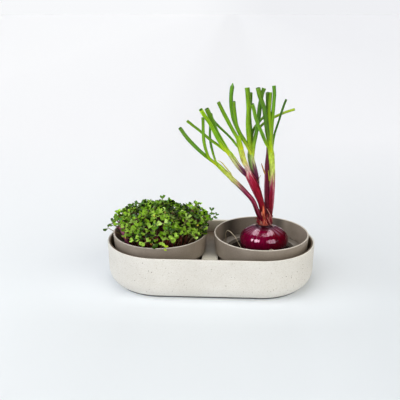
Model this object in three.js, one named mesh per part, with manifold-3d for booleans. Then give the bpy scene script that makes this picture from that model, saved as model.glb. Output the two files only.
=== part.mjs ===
// Sprouting bowl: a long round-ended tray with two stepped growing bowls,
// each with a sieve insert. The left bowl carries a dome of young greens,
// the right bowl a sprouting onion. Millimetres, +Z up. The origin is the
// centre of the tray's underside, +X runs along the tray, the front is -Y.
import * as THREE from 'three';
import { mergeVertices } from 'three/addons/utils/BufferGeometryUtils.js';
import Module from 'manifold-3d';

// ---- tray -----------------------------------------------------------------
const TRAY_LENGTH = 280;
const TRAY_WIDTH = 148.3;
const TRAY_HEIGHT = 59.4;
const TRAY_WALL = 2.2;
const TRAY_DRAFT = 0.7;          // each side, over the height
const TRAY_BOTTOM_RADIUS = 22;   // outside bottom edge
const TRAY_SEGMENTS = 40;
const GAP = 0.3;                 // between nested pieces
const LINER_WALL = 1.6;
const LINER_DROP = 0.5;          // liner rim below the tray rim
const RIB_HALF_WIDTH = 11.3;     // cross rib of the liner, between the bowls
const RIB_TOP_Z = 41.0;
const RIB_ROUND = 2.5;

// ---- bowls ----------------------------------------------------------------
const BOWL_SPACING = 136.7;      // between the two bowl axes
const BOWL_BASE_Z = 4.6;
const BOWL_RIM_Z = 69.5;
const BOWL_RIM_RADIUS = 63.6;
const BOWL_SHOULDER_RADIUS = 62.2;
const BOWL_SHOULDER_Z = 45.6;
const BOWL_LEDGE_UNDER_Z = 41.5;
const BOWL_CUP_RADIUS = 56.9;    // lower cup, just under the shoulder
const BOWL_CUP_FOOT_RADIUS = 54.0;
const BOWL_FOOT_ROUND = 8;
const BOWL_WALL = 2.2;
const BOWL_SEGMENTS = 40;

// ---- sieve inserts --------------------------------------------------------
const INSERT_FLANGE_RADIUS = 59.7;
const INSERT_FLANGE_TOP_Z = 45.7;
const INSERT_FLANGE_UNDER_Z = 44.0;
const INSERT_MOUTH_RADIUS = 47.0;
const INSERT_FLOOR_RADIUS = 43.6;
const INSERT_FLOOR_UNDER_Z = 33.4;
const INSERT_WALL = 1.6;
const DRAIN_HOLE_RADIUS = 2.6;
const DRAIN_HOLE_PITCH = 15;

// ---- growing medium and plants -------------------------------------------
const MEDIUM_TOP_Z = 43.0;
const GREENS_TOP_Z = 113;
const GREENS_RADIUS = 65;
const ONION_X = 73.8;
const BULB_RADIUS = 31.9;
const BULB_BOTTOM_Z = 36.0;
const BULB_TOP_Z = 80.2;
const NECK_RADIUS = 9.8;
const NECK_TOP_Z = 96.6;
const ROOT_RADIUS = 0.6;

const wasm = await Module();
wasm.setup();

const group = new THREE.Group();

function addMesh(name, geometry, colour, roughness, parent = group) {
  const material = new THREE.MeshStandardMaterial({ color: colour, roughness, metalness: 0 });
  const mesh = new THREE.Mesh(geometry, material);
  mesh.name = name;
  parent.add(mesh);
  return mesh;
}

// A quarter arc of the profile plane, from angle a0 to a1 in degrees.
function arc(cr, cz, radius, a0, a1, steps) {
  const out = [];
  for (let i = 0; i <= steps; i++) {
    const a = THREE.MathUtils.degToRad(a0 + ((a1 - a0) * i) / steps);
    out.push([cr + radius * Math.cos(a), cz + radius * Math.sin(a)]);
  }
  return out;
}

// Turned solid about Z. The profile runs outside first, from the axis at the
// bottom to the axis again. A stretch pulls the two half turns apart along X.
function turned(profile, segments, stretch = 0) {
  const points = profile.map(([r, z]) => new THREE.Vector2(Math.max(r, 0), z));
  const lathe = new THREE.LatheGeometry(points, segments, Math.PI / segments);
  const p = lathe.attributes.position;
  for (let i = 0; i <= segments; i++) {
    const phi = Math.PI / segments + (i * 2 * Math.PI) / segments;
    const side = Math.sin(phi) >= 0 ? 1 : -1;
    for (let j = 0; j < points.length; j++) {
      const k = i * points.length + j;
      p.setX(k, p.getX(k) + side * stretch);
    }
  }
  lathe.rotateX(Math.PI / 2);
  lathe.deleteAttribute('normal');
  lathe.deleteAttribute('uv');
  return closed(lathe);
}

// Shared vertices merged and slivers of zero area removed.
function closed(geometry) {
  const g = mergeVertices(geometry, 1e-4);
  const index = g.index.array;
  const keep = [];
  for (let i = 0; i < index.length; i += 3) {
    const [a, b, c] = [index[i], index[i + 1], index[i + 2]];
    if (a !== b && b !== c && c !== a) keep.push(a, b, c);
  }
  g.setIndex(keep);
  return g;
}

function solid(geometry) {
  return new wasm.Manifold(new wasm.Mesh({
    numProp: 3,
    vertProperties: new Float32Array(geometry.attributes.position.array),
    triVerts: new Uint32Array(geometry.index.array),
  }));
}

function fromSolid(body) {
  const mesh = body.getMesh();
  const g = new THREE.BufferGeometry();
  g.setAttribute('position', new THREE.BufferAttribute(new Float32Array(mesh.vertProperties), 3));
  g.setIndex(new THREE.BufferAttribute(new Uint32Array(mesh.triVerts), 1));
  return g;
}

// A straight prism bent along a curve, with its radius changing on the way.
function sweep(points, radiusAt, sides, steps) {
  const curve = new THREE.CatmullRomCurve3(
    points.map(([x, y, z]) => new THREE.Vector3(x, y, z)), false, 'catmullrom', 0.5);
  const frames = curve.computeFrenetFrames(steps, false);
  const shape = new THREE.Shape();
  for (let i = 0; i < sides; i++) {
    const a = (i * 2 * Math.PI) / sides;
    if (i === 0) shape.moveTo(Math.cos(a), Math.sin(a));
    else shape.lineTo(Math.cos(a), Math.sin(a));
  }
  shape.closePath();
  const g = new THREE.ExtrudeGeometry(shape, { depth: 1, steps, bevelEnabled: false, curveSegments: 1 });
  g.deleteAttribute('normal');
  g.deleteAttribute('uv');
  const p = g.attributes.position;
  const v = new THREE.Vector3();
  for (let i = 0; i < p.count; i++) {
    const k = Math.round(p.getZ(i) * steps);
    const t = k / steps;
    const r = radiusAt(t);
    v.copy(curve.getPointAt(t));
    v.addScaledVector(frames.normals[k], p.getX(i) * r);
    v.addScaledVector(frames.binormals[k], p.getY(i) * r);
    p.setXYZ(i, v.x, v.y, v.z);
  }
  return closed(g);
}

const TAUPE = 0x8d8174;
const CREAM = 0xe9e4da;
const SOIL = 0x21160e;

// ---- tray shell and liner -------------------------------------------------
const halfWidth = TRAY_WIDTH / 2;
const stretch = TRAY_LENGTH / 2 - halfWidth;
const footRadius = halfWidth - TRAY_DRAFT - TRAY_BOTTOM_RADIUS;

function dishProfile(inset, floorUnder, wall, topZ, lip) {
  const rOut = TRAY_BOTTOM_RADIUS - inset;
  const rIn = rOut - wall;
  const cz = TRAY_BOTTOM_RADIUS;
  const topOut = halfWidth - inset;
  return [
    [0, floorUnder],
    ...arc(footRadius, cz, rOut, -90, 0, 6),
    [topOut - lip * 0.15, topZ - lip],
    [topOut - lip, topZ],
    [topOut - wall + lip, topZ],
    [topOut - wall, topZ - lip],
    ...arc(footRadius, cz, rIn, 0, -90, 6),
    [0, floorUnder + wall],
  ];
}

addMesh('tray_shell',
  turned(dishProfile(0, 0, TRAY_WALL, TRAY_HEIGHT, 0.6), TRAY_SEGMENTS, stretch), CREAM, 0.55);
// The space inside a dish whose inner side lies the inset behind the tray's outside.
function dishSpace(inset, topZ) {
  return solid(turned([
    [0, inset],
    ...arc(footRadius, TRAY_BOTTOM_RADIUS, TRAY_BOTTOM_RADIUS - inset, -90, 0, 6),
    [halfWidth - inset, topZ],
    [0, topZ],
  ], TRAY_SEGMENTS, stretch));
}

// A bar across the tray, along Y, with rounded upper edges.
function crossBar(half, bottomZ, topZ, round, length) {
  const outline = [
    [-half, bottomZ], [half, bottomZ],
    ...arc(half - round, topZ - round, round, 0, 90, 4),
    ...arc(-half + round, topZ - round, round, 90, 180, 4),
  ];
  const shape = new THREE.Shape(outline.map(([x, z]) => new THREE.Vector2(x, z)));
  const g = new THREE.ExtrudeGeometry(shape, { depth: length, bevelEnabled: false, curveSegments: 1 });
  g.deleteAttribute('normal');
  g.deleteAttribute('uv');
  g.translate(0, 0, -length / 2);
  g.rotateX(Math.PI / 2);
  return solid(closed(g));
}

// The liner, with a cross rib between the bowls that is hollow from below.
const linerInset = TRAY_WALL + GAP;
const linerDish = solid(turned(
  dishProfile(linerInset, linerInset, LINER_WALL, TRAY_HEIGHT - LINER_DROP, 0.4), TRAY_SEGMENTS, stretch));
const ribBar = crossBar(RIB_HALF_WIDTH, 0, RIB_TOP_Z, RIB_ROUND, 160)
  .intersect(dishSpace(linerInset + LINER_WALL / 2, 56));
const ribCore = crossBar(RIB_HALF_WIDTH - LINER_WALL, -1, RIB_TOP_Z - LINER_WALL, RIB_ROUND - 1, 160);
const ribHollow = ribCore.intersect(dishSpace(linerInset + LINER_WALL, 56))
  .add(ribCore.intersect(wasm.Manifold.cube([60, 2 * footRadius - 4, 6 + 4], true).translate([0, 0, 1])));
addMesh('tray_liner', fromSolid(linerDish.add(ribBar).subtract(ribHollow)), TAUPE, 0.7);

// ---- bowls ----------------------------------------------------------------
const shoulderRound = BOWL_SHOULDER_Z - BOWL_LEDGE_UNDER_Z;
const footZ = BOWL_BASE_Z + BOWL_FOOT_ROUND;
const ledgeTop = BOWL_LEDGE_UNDER_Z + BOWL_WALL;
const bowlProfile = [
  [0, BOWL_BASE_Z],
  ...arc(BOWL_CUP_FOOT_RADIUS - BOWL_FOOT_ROUND, footZ, BOWL_FOOT_ROUND, -90, 0, 3),
  [BOWL_CUP_RADIUS, BOWL_LEDGE_UNDER_Z],
  ...arc(BOWL_SHOULDER_RADIUS - shoulderRound, BOWL_SHOULDER_Z, shoulderRound, -90, 0, 3),
  [BOWL_RIM_RADIUS, BOWL_RIM_Z - 0.7],
  [BOWL_RIM_RADIUS - 0.7, BOWL_RIM_Z],
  [BOWL_RIM_RADIUS - BOWL_WALL + 0.6, BOWL_RIM_Z],
  [BOWL_RIM_RADIUS - BOWL_WALL, BOWL_RIM_Z - 0.7],
  [BOWL_SHOULDER_RADIUS - BOWL_WALL + 0.05, ledgeTop + 1.2],
  [BOWL_SHOULDER_RADIUS - BOWL_WALL - 1.0, ledgeTop],
  [BOWL_CUP_RADIUS - BOWL_WALL, ledgeTop],
  ...arc(BOWL_CUP_FOOT_RADIUS - BOWL_FOOT_ROUND, footZ, BOWL_FOOT_ROUND - BOWL_WALL, 0, -90, 3),
  [0, BOWL_BASE_Z + BOWL_WALL],
];

// ---- sieve insert: flat flange on the bowl's ledge, shallow pan with holes --
const insertFloorTop = INSERT_FLOOR_UNDER_Z + INSERT_WALL;
const insertProfile = [
  [0, INSERT_FLOOR_UNDER_Z],
  [INSERT_FLOOR_RADIUS, INSERT_FLOOR_UNDER_Z],
  [INSERT_FLOOR_RADIUS + INSERT_WALL, INSERT_FLOOR_UNDER_Z + 1.4],
  [INSERT_MOUTH_RADIUS + INSERT_WALL, INSERT_FLANGE_UNDER_Z],
  [INSERT_FLANGE_RADIUS - 1.2, INSERT_FLANGE_UNDER_Z],
  [INSERT_FLANGE_RADIUS - 0.2, INSERT_FLANGE_TOP_Z - 0.5],
  [INSERT_FLANGE_RADIUS - 0.6, INSERT_FLANGE_TOP_Z],
  [INSERT_MOUTH_RADIUS + 0.6, INSERT_FLANGE_TOP_Z],
  [INSERT_MOUTH_RADIUS, INSERT_FLANGE_TOP_Z - 0.6],
  [INSERT_FLOOR_RADIUS, insertFloorTop + 0.6],
  [INSERT_FLOOR_RADIUS - 0.8, insertFloorTop],
  [0, insertFloorTop],
];

function drilled(profile) {
  let body = solid(turned(profile, 36));
  for (let q = -2; q <= 2; q++) {
    for (let s = -2; s <= 2; s++) {
      if (Math.abs(q + s) > 2) continue;
      const drill = new THREE.CylinderGeometry(DRAIN_HOLE_RADIUS, DRAIN_HOLE_RADIUS, 8, 6);
      drill.rotateX(Math.PI / 2);
      drill.translate(DRAIN_HOLE_PITCH * (q + s / 2), DRAIN_HOLE_PITCH * s * Math.sqrt(0.75),
        INSERT_FLOOR_UNDER_Z + INSERT_WALL / 2);
      drill.deleteAttribute('normal');
      drill.deleteAttribute('uv');
      body = body.subtract(solid(closed(drill)));
    }
  }
  return fromSolid(body);
}

// ---- growing medium -------------------------------------------------------
const mediumProfile = [
  [0, insertFloorTop + GAP],
  [INSERT_FLOOR_RADIUS - 1.4, insertFloorTop + GAP],
  [INSERT_FLOOR_RADIUS - 0.5, insertFloorTop + 1.2],
  [INSERT_MOUTH_RADIUS - 1.5, MEDIUM_TOP_Z - 1.2],
  [INSERT_MOUTH_RADIUS - 3.2, MEDIUM_TOP_Z],
  [0, MEDIUM_TOP_Z],
];

// ---- onion bulb -----------------------------------------------------------
function bulbProfile(grow) {
  const rows = [
    [0.0, BULB_BOTTOM_Z - grow], [0.22, BULB_BOTTOM_Z + 0.3 - grow], [0.5, 38.4 - grow * 0.9],
    [0.75, 42.8], [0.91, 49], [0.985, 56], [1.0, 61], [0.962, 66.5], [0.83, 71.8], [0.61, 75.8],
    [0.425, 78.2], [0.345, BULB_TOP_Z], [0.0, BULB_TOP_Z],
  ];
  return rows.map(([f, z]) => [f === 0 ? 0 : f * BULB_RADIUS + grow, z]);
}

const leftX = -BOWL_SPACING / 2;
const rightX = BOWL_SPACING / 2;

for (const [side, x] of [['left', leftX], ['right', rightX]]) {
  addMesh(`bowl_${side}`, turned(bowlProfile, BOWL_SEGMENTS), TAUPE, 0.7).position.x = x;
  addMesh(`sieve_insert_${side}`, drilled(insertProfile), 0x85796d, 0.7).position.x = x;
}

addMesh('growing_medium_left', turned(mediumProfile, 32), SOIL, 0.95).position.x = leftX;

// The bulb sits in a hollow of the right-hand medium.
const dent = turned(bulbProfile(0.5), 24);
dent.translate(ONION_X - rightX, 0, 0);
addMesh('growing_medium_right',
  fromSolid(solid(turned(mediumProfile, 32)).subtract(solid(dent))), SOIL, 0.95).position.x = rightX;

// ---- young greens, one soft dome over the rim of the left bowl --------------
const greensProfile = [
  [0, MEDIUM_TOP_Z + GAP], [42.5, MEDIUM_TOP_Z + GAP], [47, 51], [52, 61], [57.5, 70.5],
  [GREENS_RADIUS - 2, 76], [GREENS_RADIUS, 82], [GREENS_RADIUS - 5, 91], [50, 100], [35, 107.4],
  [17, 111.8], [0, GREENS_TOP_Z],
];
addMesh('radish_greens', turned(greensProfile, 28), 0x4f8a2f, 0.6).position.x = leftX;

// ---- onion ----------------------------------------------------------------
addMesh('onion_bulb', turned(bulbProfile(0), 32), 0x8a0f3e, 0.25).position.x = ONION_X;
const neck = addMesh('onion_neck', turned([
  [0, BULB_TOP_Z + GAP], [10.6, BULB_TOP_Z + GAP], [NECK_RADIUS, 86], [NECK_RADIUS - 0.3, 92],
  [NECK_RADIUS - 0.1, NECK_TOP_Z], [0, NECK_TOP_Z],
], 16), 0x7a2431, 0.5);
neck.position.set(74.2, 2.5, 0);

// Stems: the leaf sheaths that rise from the neck. Centre line, diameter.
const STEMS = [
  ['stem_left', [[63.6, -9.2, 98.4], [56.1, -9.4, 116.5], [45.7, -10.1, 129.3], [36.3, -10.8, 139.3],
    [28.5, -11.4, 146.6], [24.3, -12.1, 151.5], [15.6, -12.8, 160.0], [8.0, -13.5, 167.8]], 6.2, 8, 0x8f2f55],
  ['stem_middle', [[70.7, -2.3, 98.5], [69.1, -2.6, 106.2], [65.5, -3.2, 119.5], [60.4, -3.8, 134.3],
    [54.7, -4.4, 145.7], [50.8, -5.0, 152.5]], 11.2, 6, 0xa01f45],
  ['stem_right', [[79.3, 7.4, 98.5], [79.1, 7.4, 106.3], [78.6, 7.4, 131.2], [78.3, 7.3, 147.5],
    [79.1, 7.3, 166.5], [78.0, 7.3, 180.0]], 11.5, 6, 0x86203f],
  ['sheath_middle_a', [[48.5, -6.0, 151.8], [42.7, -8.9, 158.2], [35.8, -10.1, 166.7], [29.2, -11.3, 175.8],
    [23.8, -12.5, 182.3]], 5.8, 6, 0x8d4a68],
  ['sheath_middle_b', [[51.0, -7.4, 153.4], [46.6, -5.6, 161.1], [42.7, -6.1, 172.4], [40.0, -7.1, 183.7],
    [38.0, -8.2, 192.6]], 5.8, 6, 0xb9b83a],
  ['sheath_middle_c', [[60.8, 4.6, 143.5], [57.9, 3.0, 155.0], [55.0, 2.4, 165.3], [53.1, 3.0, 174.0]], 6.8, 6, 0x6d2b50],
];
// Sheaths start slender between their neighbours; every stem closes in a little at its top.
function stemTaper(name, t) {
  const top = t > 0.999 ? 0.85 : 1;
  return name.startsWith('sheath') ? top * (0.48 + 0.52 * THREE.MathUtils.smoothstep(t, 0, 0.3)) : top;
}
for (const [name, points, diameter, steps, colour] of STEMS) {
  addMesh(name, sweep(points, (t) => (diameter / 2) * stemTaper(name, t), 8, steps), colour, 0.45);
}

// Leaves: hollow cut leaves, here as plain rods. Centre line, diameter at the
// base and where it is widest.
const LEAVES = [
  ['leaf_left_1', [[6.65, -14, 167.2], [-4.5, -20.9, 180.5], [-14.9, -24.1, 190.3], [-25.1, -27.4, 202.7],
    [-32.6, -30.7, 212.3], [-37.1, -34.0, 217.6]], 2, 5.2],
  ['leaf_left_2', [[8.3, -14.9, 168.8], [-1.3, -24.4, 181.4], [-5.9, -26.8, 191.1], [-8.4, -29.2, 204.3],
    [-9.2, -31.6, 219.5], [-8.4, -34.0, 230.7]], 2, 4.2],
  ['leaf_left_3', [[8.1, -12, 168.6], [3.0, -9.8, 179.5], [0.0, -10.3, 193.8], [-1.4, -10.9, 206.8],
    [-1.4, -11.4, 215.5], [-1.7, -12.0, 219.8]], 2, 3.6],
  ['leaf_middle_1', [[22.3, -12.8, 181.7], [12.1, -16.9, 190.0], [2.6, -18.2, 196.7], [-7.8, -19.5, 205.4],
    [-19.3, -20.7, 215.1], [-29.5, -22.0, 224.1]], 2, 4.0],
  ['leaf_middle_2', [[24, -14.2, 183.2], [15.3, -20.6, 197.4], [7.9, -23.0, 209.5], [0.1, -25.3, 221.4],
    [-6.5, -27.7, 231.6], [-12.0, -30.0, 240.2]], 2, 5.8],
  ['leaf_middle_3', [[24.1, -11.1, 183.3], [17.2, -10.1, 198.2], [9.7, -12.5, 212.6], [3.4, -15.0, 224.7],
    [-1.8, -17.5, 233.5], [-5.0, -20.0, 239.6]], 2, 5.8],
  ['leaf_middle_4', [[36.6, -7.2, 193.9], [28.9, -2.7, 197.3], [19.1, -1.5, 206.1], [10.5, -0.4, 214.4],
    [2.9, 0.8, 221.7], [-0.2, 2.0, 229.8]], 2, 3.5],
  ['leaf_middle_5', [[38.7, -9.1, 193.4], [31.9, -11.2, 206.2], [24.3, -11.4, 220.0], [16.8, -11.7, 233.7],
    [9.4, -12.0, 246.6]], 2, 4.8],
  ['leaf_middle_6', [[51.2, 2, 174.2], [46.6, -3.7, 191.0], [41.6, -3.9, 199.7], [35.0, -4.2, 211.1],
    [30.7, -4.5, 223.0], [28.7, -4.7, 234.6], [28.0, -5.0, 246.2]], 1.7, 4.6],
  ['leaf_middle_7', [[51.2, 4.1, 174.2], [44.0, 4.4, 195.2], [37.3, 4.6, 206.6], [32.3, 4.9, 212.5],
    [27.2, 5.2, 229.7], [25.4, 5.5, 242.4], [25.1, 5.7, 252.9], [26.4, 6.0, 265.2]], 1.7, 5.0],
  ['leaf_middle_8', [[53, 0.9, 174.6], [49.1, -0.4, 201.2], [47.6, -1.3, 216.5], [46.9, -2.2, 233.7],
    [45.7, -3.1, 249.6], [44.6, -4.0, 263.7]], 1.7, 5.6],
  ['leaf_middle_9', [[53, 3.05, 174.7], [51.5, 7.2, 199.6], [49.8, 7.9, 214.7], [48.5, 8.6, 231.8],
    [49.3, 9.3, 244.5], [49.5, 10.0, 255.5]], 1.7, 5.2],
  ['leaf_middle_10', [[54.8, 2, 175], [56.6, 2.6, 194.1], [59.4, 2.5, 209.4], [61.2, 2.4, 224.5],
    [62.1, 2.2, 236.3], [63.8, 2.1, 248.9], [65.8, 2.0, 262.0]], 1.7, 5.0],
  ['leaf_middle_11', [[54.8, 4.1, 175], [56.9, 10.8, 194.4], [60.3, 12.5, 207.1], [67.4, 14.0, 215.0],
    [81.1, 15.2, 223.4], [93.8, 15.6, 229.4], [106.9, 16.0, 233.8]], 1.7, 3.5],
  ['leaf_middle_12', [[53, 5.2, 174.6], [53.0, 13.6, 198.2], [55.3, 15.7, 208.3], [60.3, 17.8, 214.5],
    [66.4, 19.8, 221.3], [71.7, 21.9, 226.5], [76.1, 24.0, 229.4]], 1.7, 3.5],
  ['leaf_right_1', [[75.4, 8.8, 180.6], [75.3, 1.8, 201.1], [73.4, 2.2, 216.1], [72.0, 2.6, 233.1],
    [70.6, 3.0, 256.7]], 2.4, 4.8],
  ['leaf_right_2', [[78, 10.3, 180.6], [78.8, 14.3, 198.4], [77.6, 11.3, 214.3], [76.1, 9.0, 232.0],
    [74.4, 7.1, 256.7]], 2.4, 4.4],
  ['leaf_right_3', [[80.6, 5.8, 180.6], [79.1, -1.1, 201.7], [79.2, 0.1, 216.6], [79.5, 1.4, 231.3],
    [79.5, 2.7, 249.0], [78.3, 4.0, 264.9]], 2.4, 4.6],
  ['leaf_right_4', [[78, 4.3, 180.6], [72.7, -3.7, 202.2], [70.3, -4.8, 221.7], [66.6, -5.9, 240.8],
    [61.2, -6.9, 251.4], [57.9, -8.0, 263.8]], 2.4, 5.2],
  ['leaf_right_5', [[75.4, 5.8, 180.6], [68.4, -8.1, 202.1], [61.3, -9.4, 216.7], [56.0, -10.7, 231.6],
    [51.8, -12.0, 244.6]], 2.4, 4.8],
  ['leaf_right_6', [[80.6, 8.8, 180.6], [82.1, 11.2, 200.2], [86.2, 8.8, 219.3], [90.7, 6.4, 233.7],
    [94.4, 4.0, 247.6]], 2, 2.9],
];
for (const [name, points, base, widest] of LEAVES) {
  addMesh(name, sweep(points, (t) => {
    const k = THREE.MathUtils.smoothstep(t, 0, 0.35);
    return (base + (widest - base) * k) / 2;
  }, 6, 9), 0x4f9a2c, 0.45);
}

// ---- loose roots beside the bulb -------------------------------------------
const ROOTS = [
  ['root_left', [[21.2, 13.0, 47.4], [20.9, 4.0, 66.5], [24.0, 0.0, 70.8], [30.5, -4.0, 67.4],
    [36.0, -9.0, 60.6], [41.0, -13.0, 53.0], [44.5, -14.0, 45.0]], 12],
  ['root_front', [[70.0, -38.0, 45.6], [74.5, -39.5, 56.0], [80.5, -40.0, 61.4], [86.0, -39.0, 57.0],
    [89.5, -37.0, 46.4]], 10],
];
for (const [name, points, steps] of ROOTS) {
  addMesh(name, sweep(points, () => ROOT_RADIUS, 6, steps), 0xc9bca0, 0.7);
}

export default group;
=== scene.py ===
import math

import bmesh
import bpy
import numpy as np
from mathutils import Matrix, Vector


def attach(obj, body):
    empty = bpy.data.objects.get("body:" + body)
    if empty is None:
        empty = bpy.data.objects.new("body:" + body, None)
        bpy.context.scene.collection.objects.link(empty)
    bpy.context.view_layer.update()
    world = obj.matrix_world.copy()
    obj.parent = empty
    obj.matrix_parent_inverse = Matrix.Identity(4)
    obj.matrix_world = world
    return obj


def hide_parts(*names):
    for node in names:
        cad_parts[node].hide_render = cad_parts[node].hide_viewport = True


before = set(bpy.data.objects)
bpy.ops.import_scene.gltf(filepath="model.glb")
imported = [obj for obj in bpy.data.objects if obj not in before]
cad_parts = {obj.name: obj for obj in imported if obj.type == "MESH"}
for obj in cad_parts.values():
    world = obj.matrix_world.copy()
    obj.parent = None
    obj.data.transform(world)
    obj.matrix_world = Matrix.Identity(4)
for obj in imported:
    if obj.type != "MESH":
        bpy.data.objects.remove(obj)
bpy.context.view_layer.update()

MM = 0.001
scene = bpy.context.scene
scene.view_settings.view_transform = "Standard"
scene.view_settings.look = "None"

# ---------------------------------------------------------------- camera
CAM_AT = np.array([25.25, -749.6, 364.69])
CAM_DOWN = math.radians(18.476)
CAM_TURN = math.radians(3.021)
CAM_LENS = 53.34

camera_data = bpy.data.cameras.new("camera")
camera_data.lens = CAM_LENS
camera_data.sensor_width = 36.0
camera = bpy.data.objects.new("camera", camera_data)
camera.location = CAM_AT * MM
camera.rotation_euler = (math.pi / 2 - CAM_DOWN, 0.0, CAM_TURN)
scene.collection.objects.link(camera)
scene.camera = camera


# ---------------------------------------------------------------- meshes
def srgb(r, g, b):
    """Linear colour of an 8-bit display colour."""
    c = np.array([r, g, b], float) / 255.0
    return np.where(c <= 0.04045, c / 12.92, ((c + 0.055) / 1.055) ** 2.4)


def smoothstep(x, a, b):
    t = np.clip((np.asarray(x, float) - a) / (b - a), 0.0, 1.0)
    return t * t * (3 - 2 * t)


def piece(name, verts, faces, materials, body, nodes=(), tint=None, uv=None,
          slots=None, sharp=42.0, weld=0.0):
    """One mesh piece in the row frame, from millimetre points, on its body."""
    mesh = bpy.data.meshes.new(name)
    verts = np.asarray(verts, float) * MM
    mesh.from_pydata(verts.tolist(), [], [tuple(int(i) for i in f) for f in faces])
    for m in materials:
        mesh.materials.append(m)
    if slots is not None:
        mesh.polygons.foreach_set("material_index", np.asarray(slots, np.int32))
    if tint is not None:
        rgba = np.ones((len(verts), 4), np.float32)
        rgba[:, :3] = tint
        layer = mesh.color_attributes.new("tint", "FLOAT_COLOR", "POINT")
        layer.data.foreach_set("color", rgba.ravel())
    if uv is not None:
        layer = mesh.uv_layers.new(name="along")
        loops = np.empty(len(mesh.loops), np.int32)
        mesh.loops.foreach_get("vertex_index", loops)
        layer.data.foreach_set("uv", np.asarray(uv, np.float32)[loops].ravel())
    bm = bmesh.new()
    bm.from_mesh(mesh)
    if weld:
        bmesh.ops.remove_doubles(bm, verts=bm.verts, dist=weld * MM)
        bmesh.ops.dissolve_degenerate(bm, edges=bm.edges, dist=1e-7)
    bmesh.ops.recalc_face_normals(bm, faces=bm.faces)
    bm.to_mesh(mesh)
    bm.free()
    mesh.polygons.foreach_set("use_smooth", np.ones(len(mesh.polygons), bool))
    mesh.set_sharp_from_angle(angle=math.radians(sharp))
    mesh.update()
    obj = bpy.data.objects.new(name, mesh)
    scene.collection.objects.link(obj)
    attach(obj, body)
    if nodes:
        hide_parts(*nodes)
    return obj


def arc(cr, cz, radius, a0, a1, steps):
    a = np.radians(np.linspace(a0, a1, steps + 1))
    return [(cr + radius * math.cos(x), cz + radius * math.sin(x)) for x in a]


def dense(rows, step):
    """The same profile with points at most a step apart."""
    out = [tuple(rows[0])]
    for a, b in zip(rows[:-1], rows[1:]):
        n = max(1, int(math.ceil(math.dist(a, b) / step)))
        for k in range(1, n + 1):
            out.append((a[0] + (b[0] - a[0]) * k / n, a[1] + (b[1] - a[1]) * k / n))
    return out


def turned(profile, segments, stretch=0.0, cx=0.0, cy=0.0, straight=24):
    """Points and faces of a profile turned about Z; stretch pulls the halves apart along X."""
    prof = np.array(profile, float)
    if stretch:
        half = segments // 2
        cols = [(-90 + 180 * k / half, stretch) for k in range(half + 1)]
        cols += [(90, stretch * (1 - 2 * k / straight)) for k in range(1, straight)]
        cols += [(90 + 180 * k / half, -stretch) for k in range(half + 1)]
        cols += [(270, stretch * (-1 + 2 * k / straight)) for k in range(1, straight)]
    else:
        cols = [(360 * k / segments, 0.0) for k in range(segments)]
    n, m = len(cols), len(prof)
    verts = np.empty((n, m, 3))
    for i, (angle, off) in enumerate(cols):
        a = math.radians(angle)
        verts[i, :, 0] = prof[:, 0] * math.cos(a) + off + cx
        verts[i, :, 1] = prof[:, 0] * math.sin(a) + cy
        verts[i, :, 2] = prof[:, 1]
    faces = []
    for i in range(n):
        j = (i + 1) % n
        for k in range(m - 1):
            faces.append((i * m + k, j * m + k, j * m + k + 1, i * m + k + 1))
    return verts.reshape(-1, 3), faces


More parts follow.
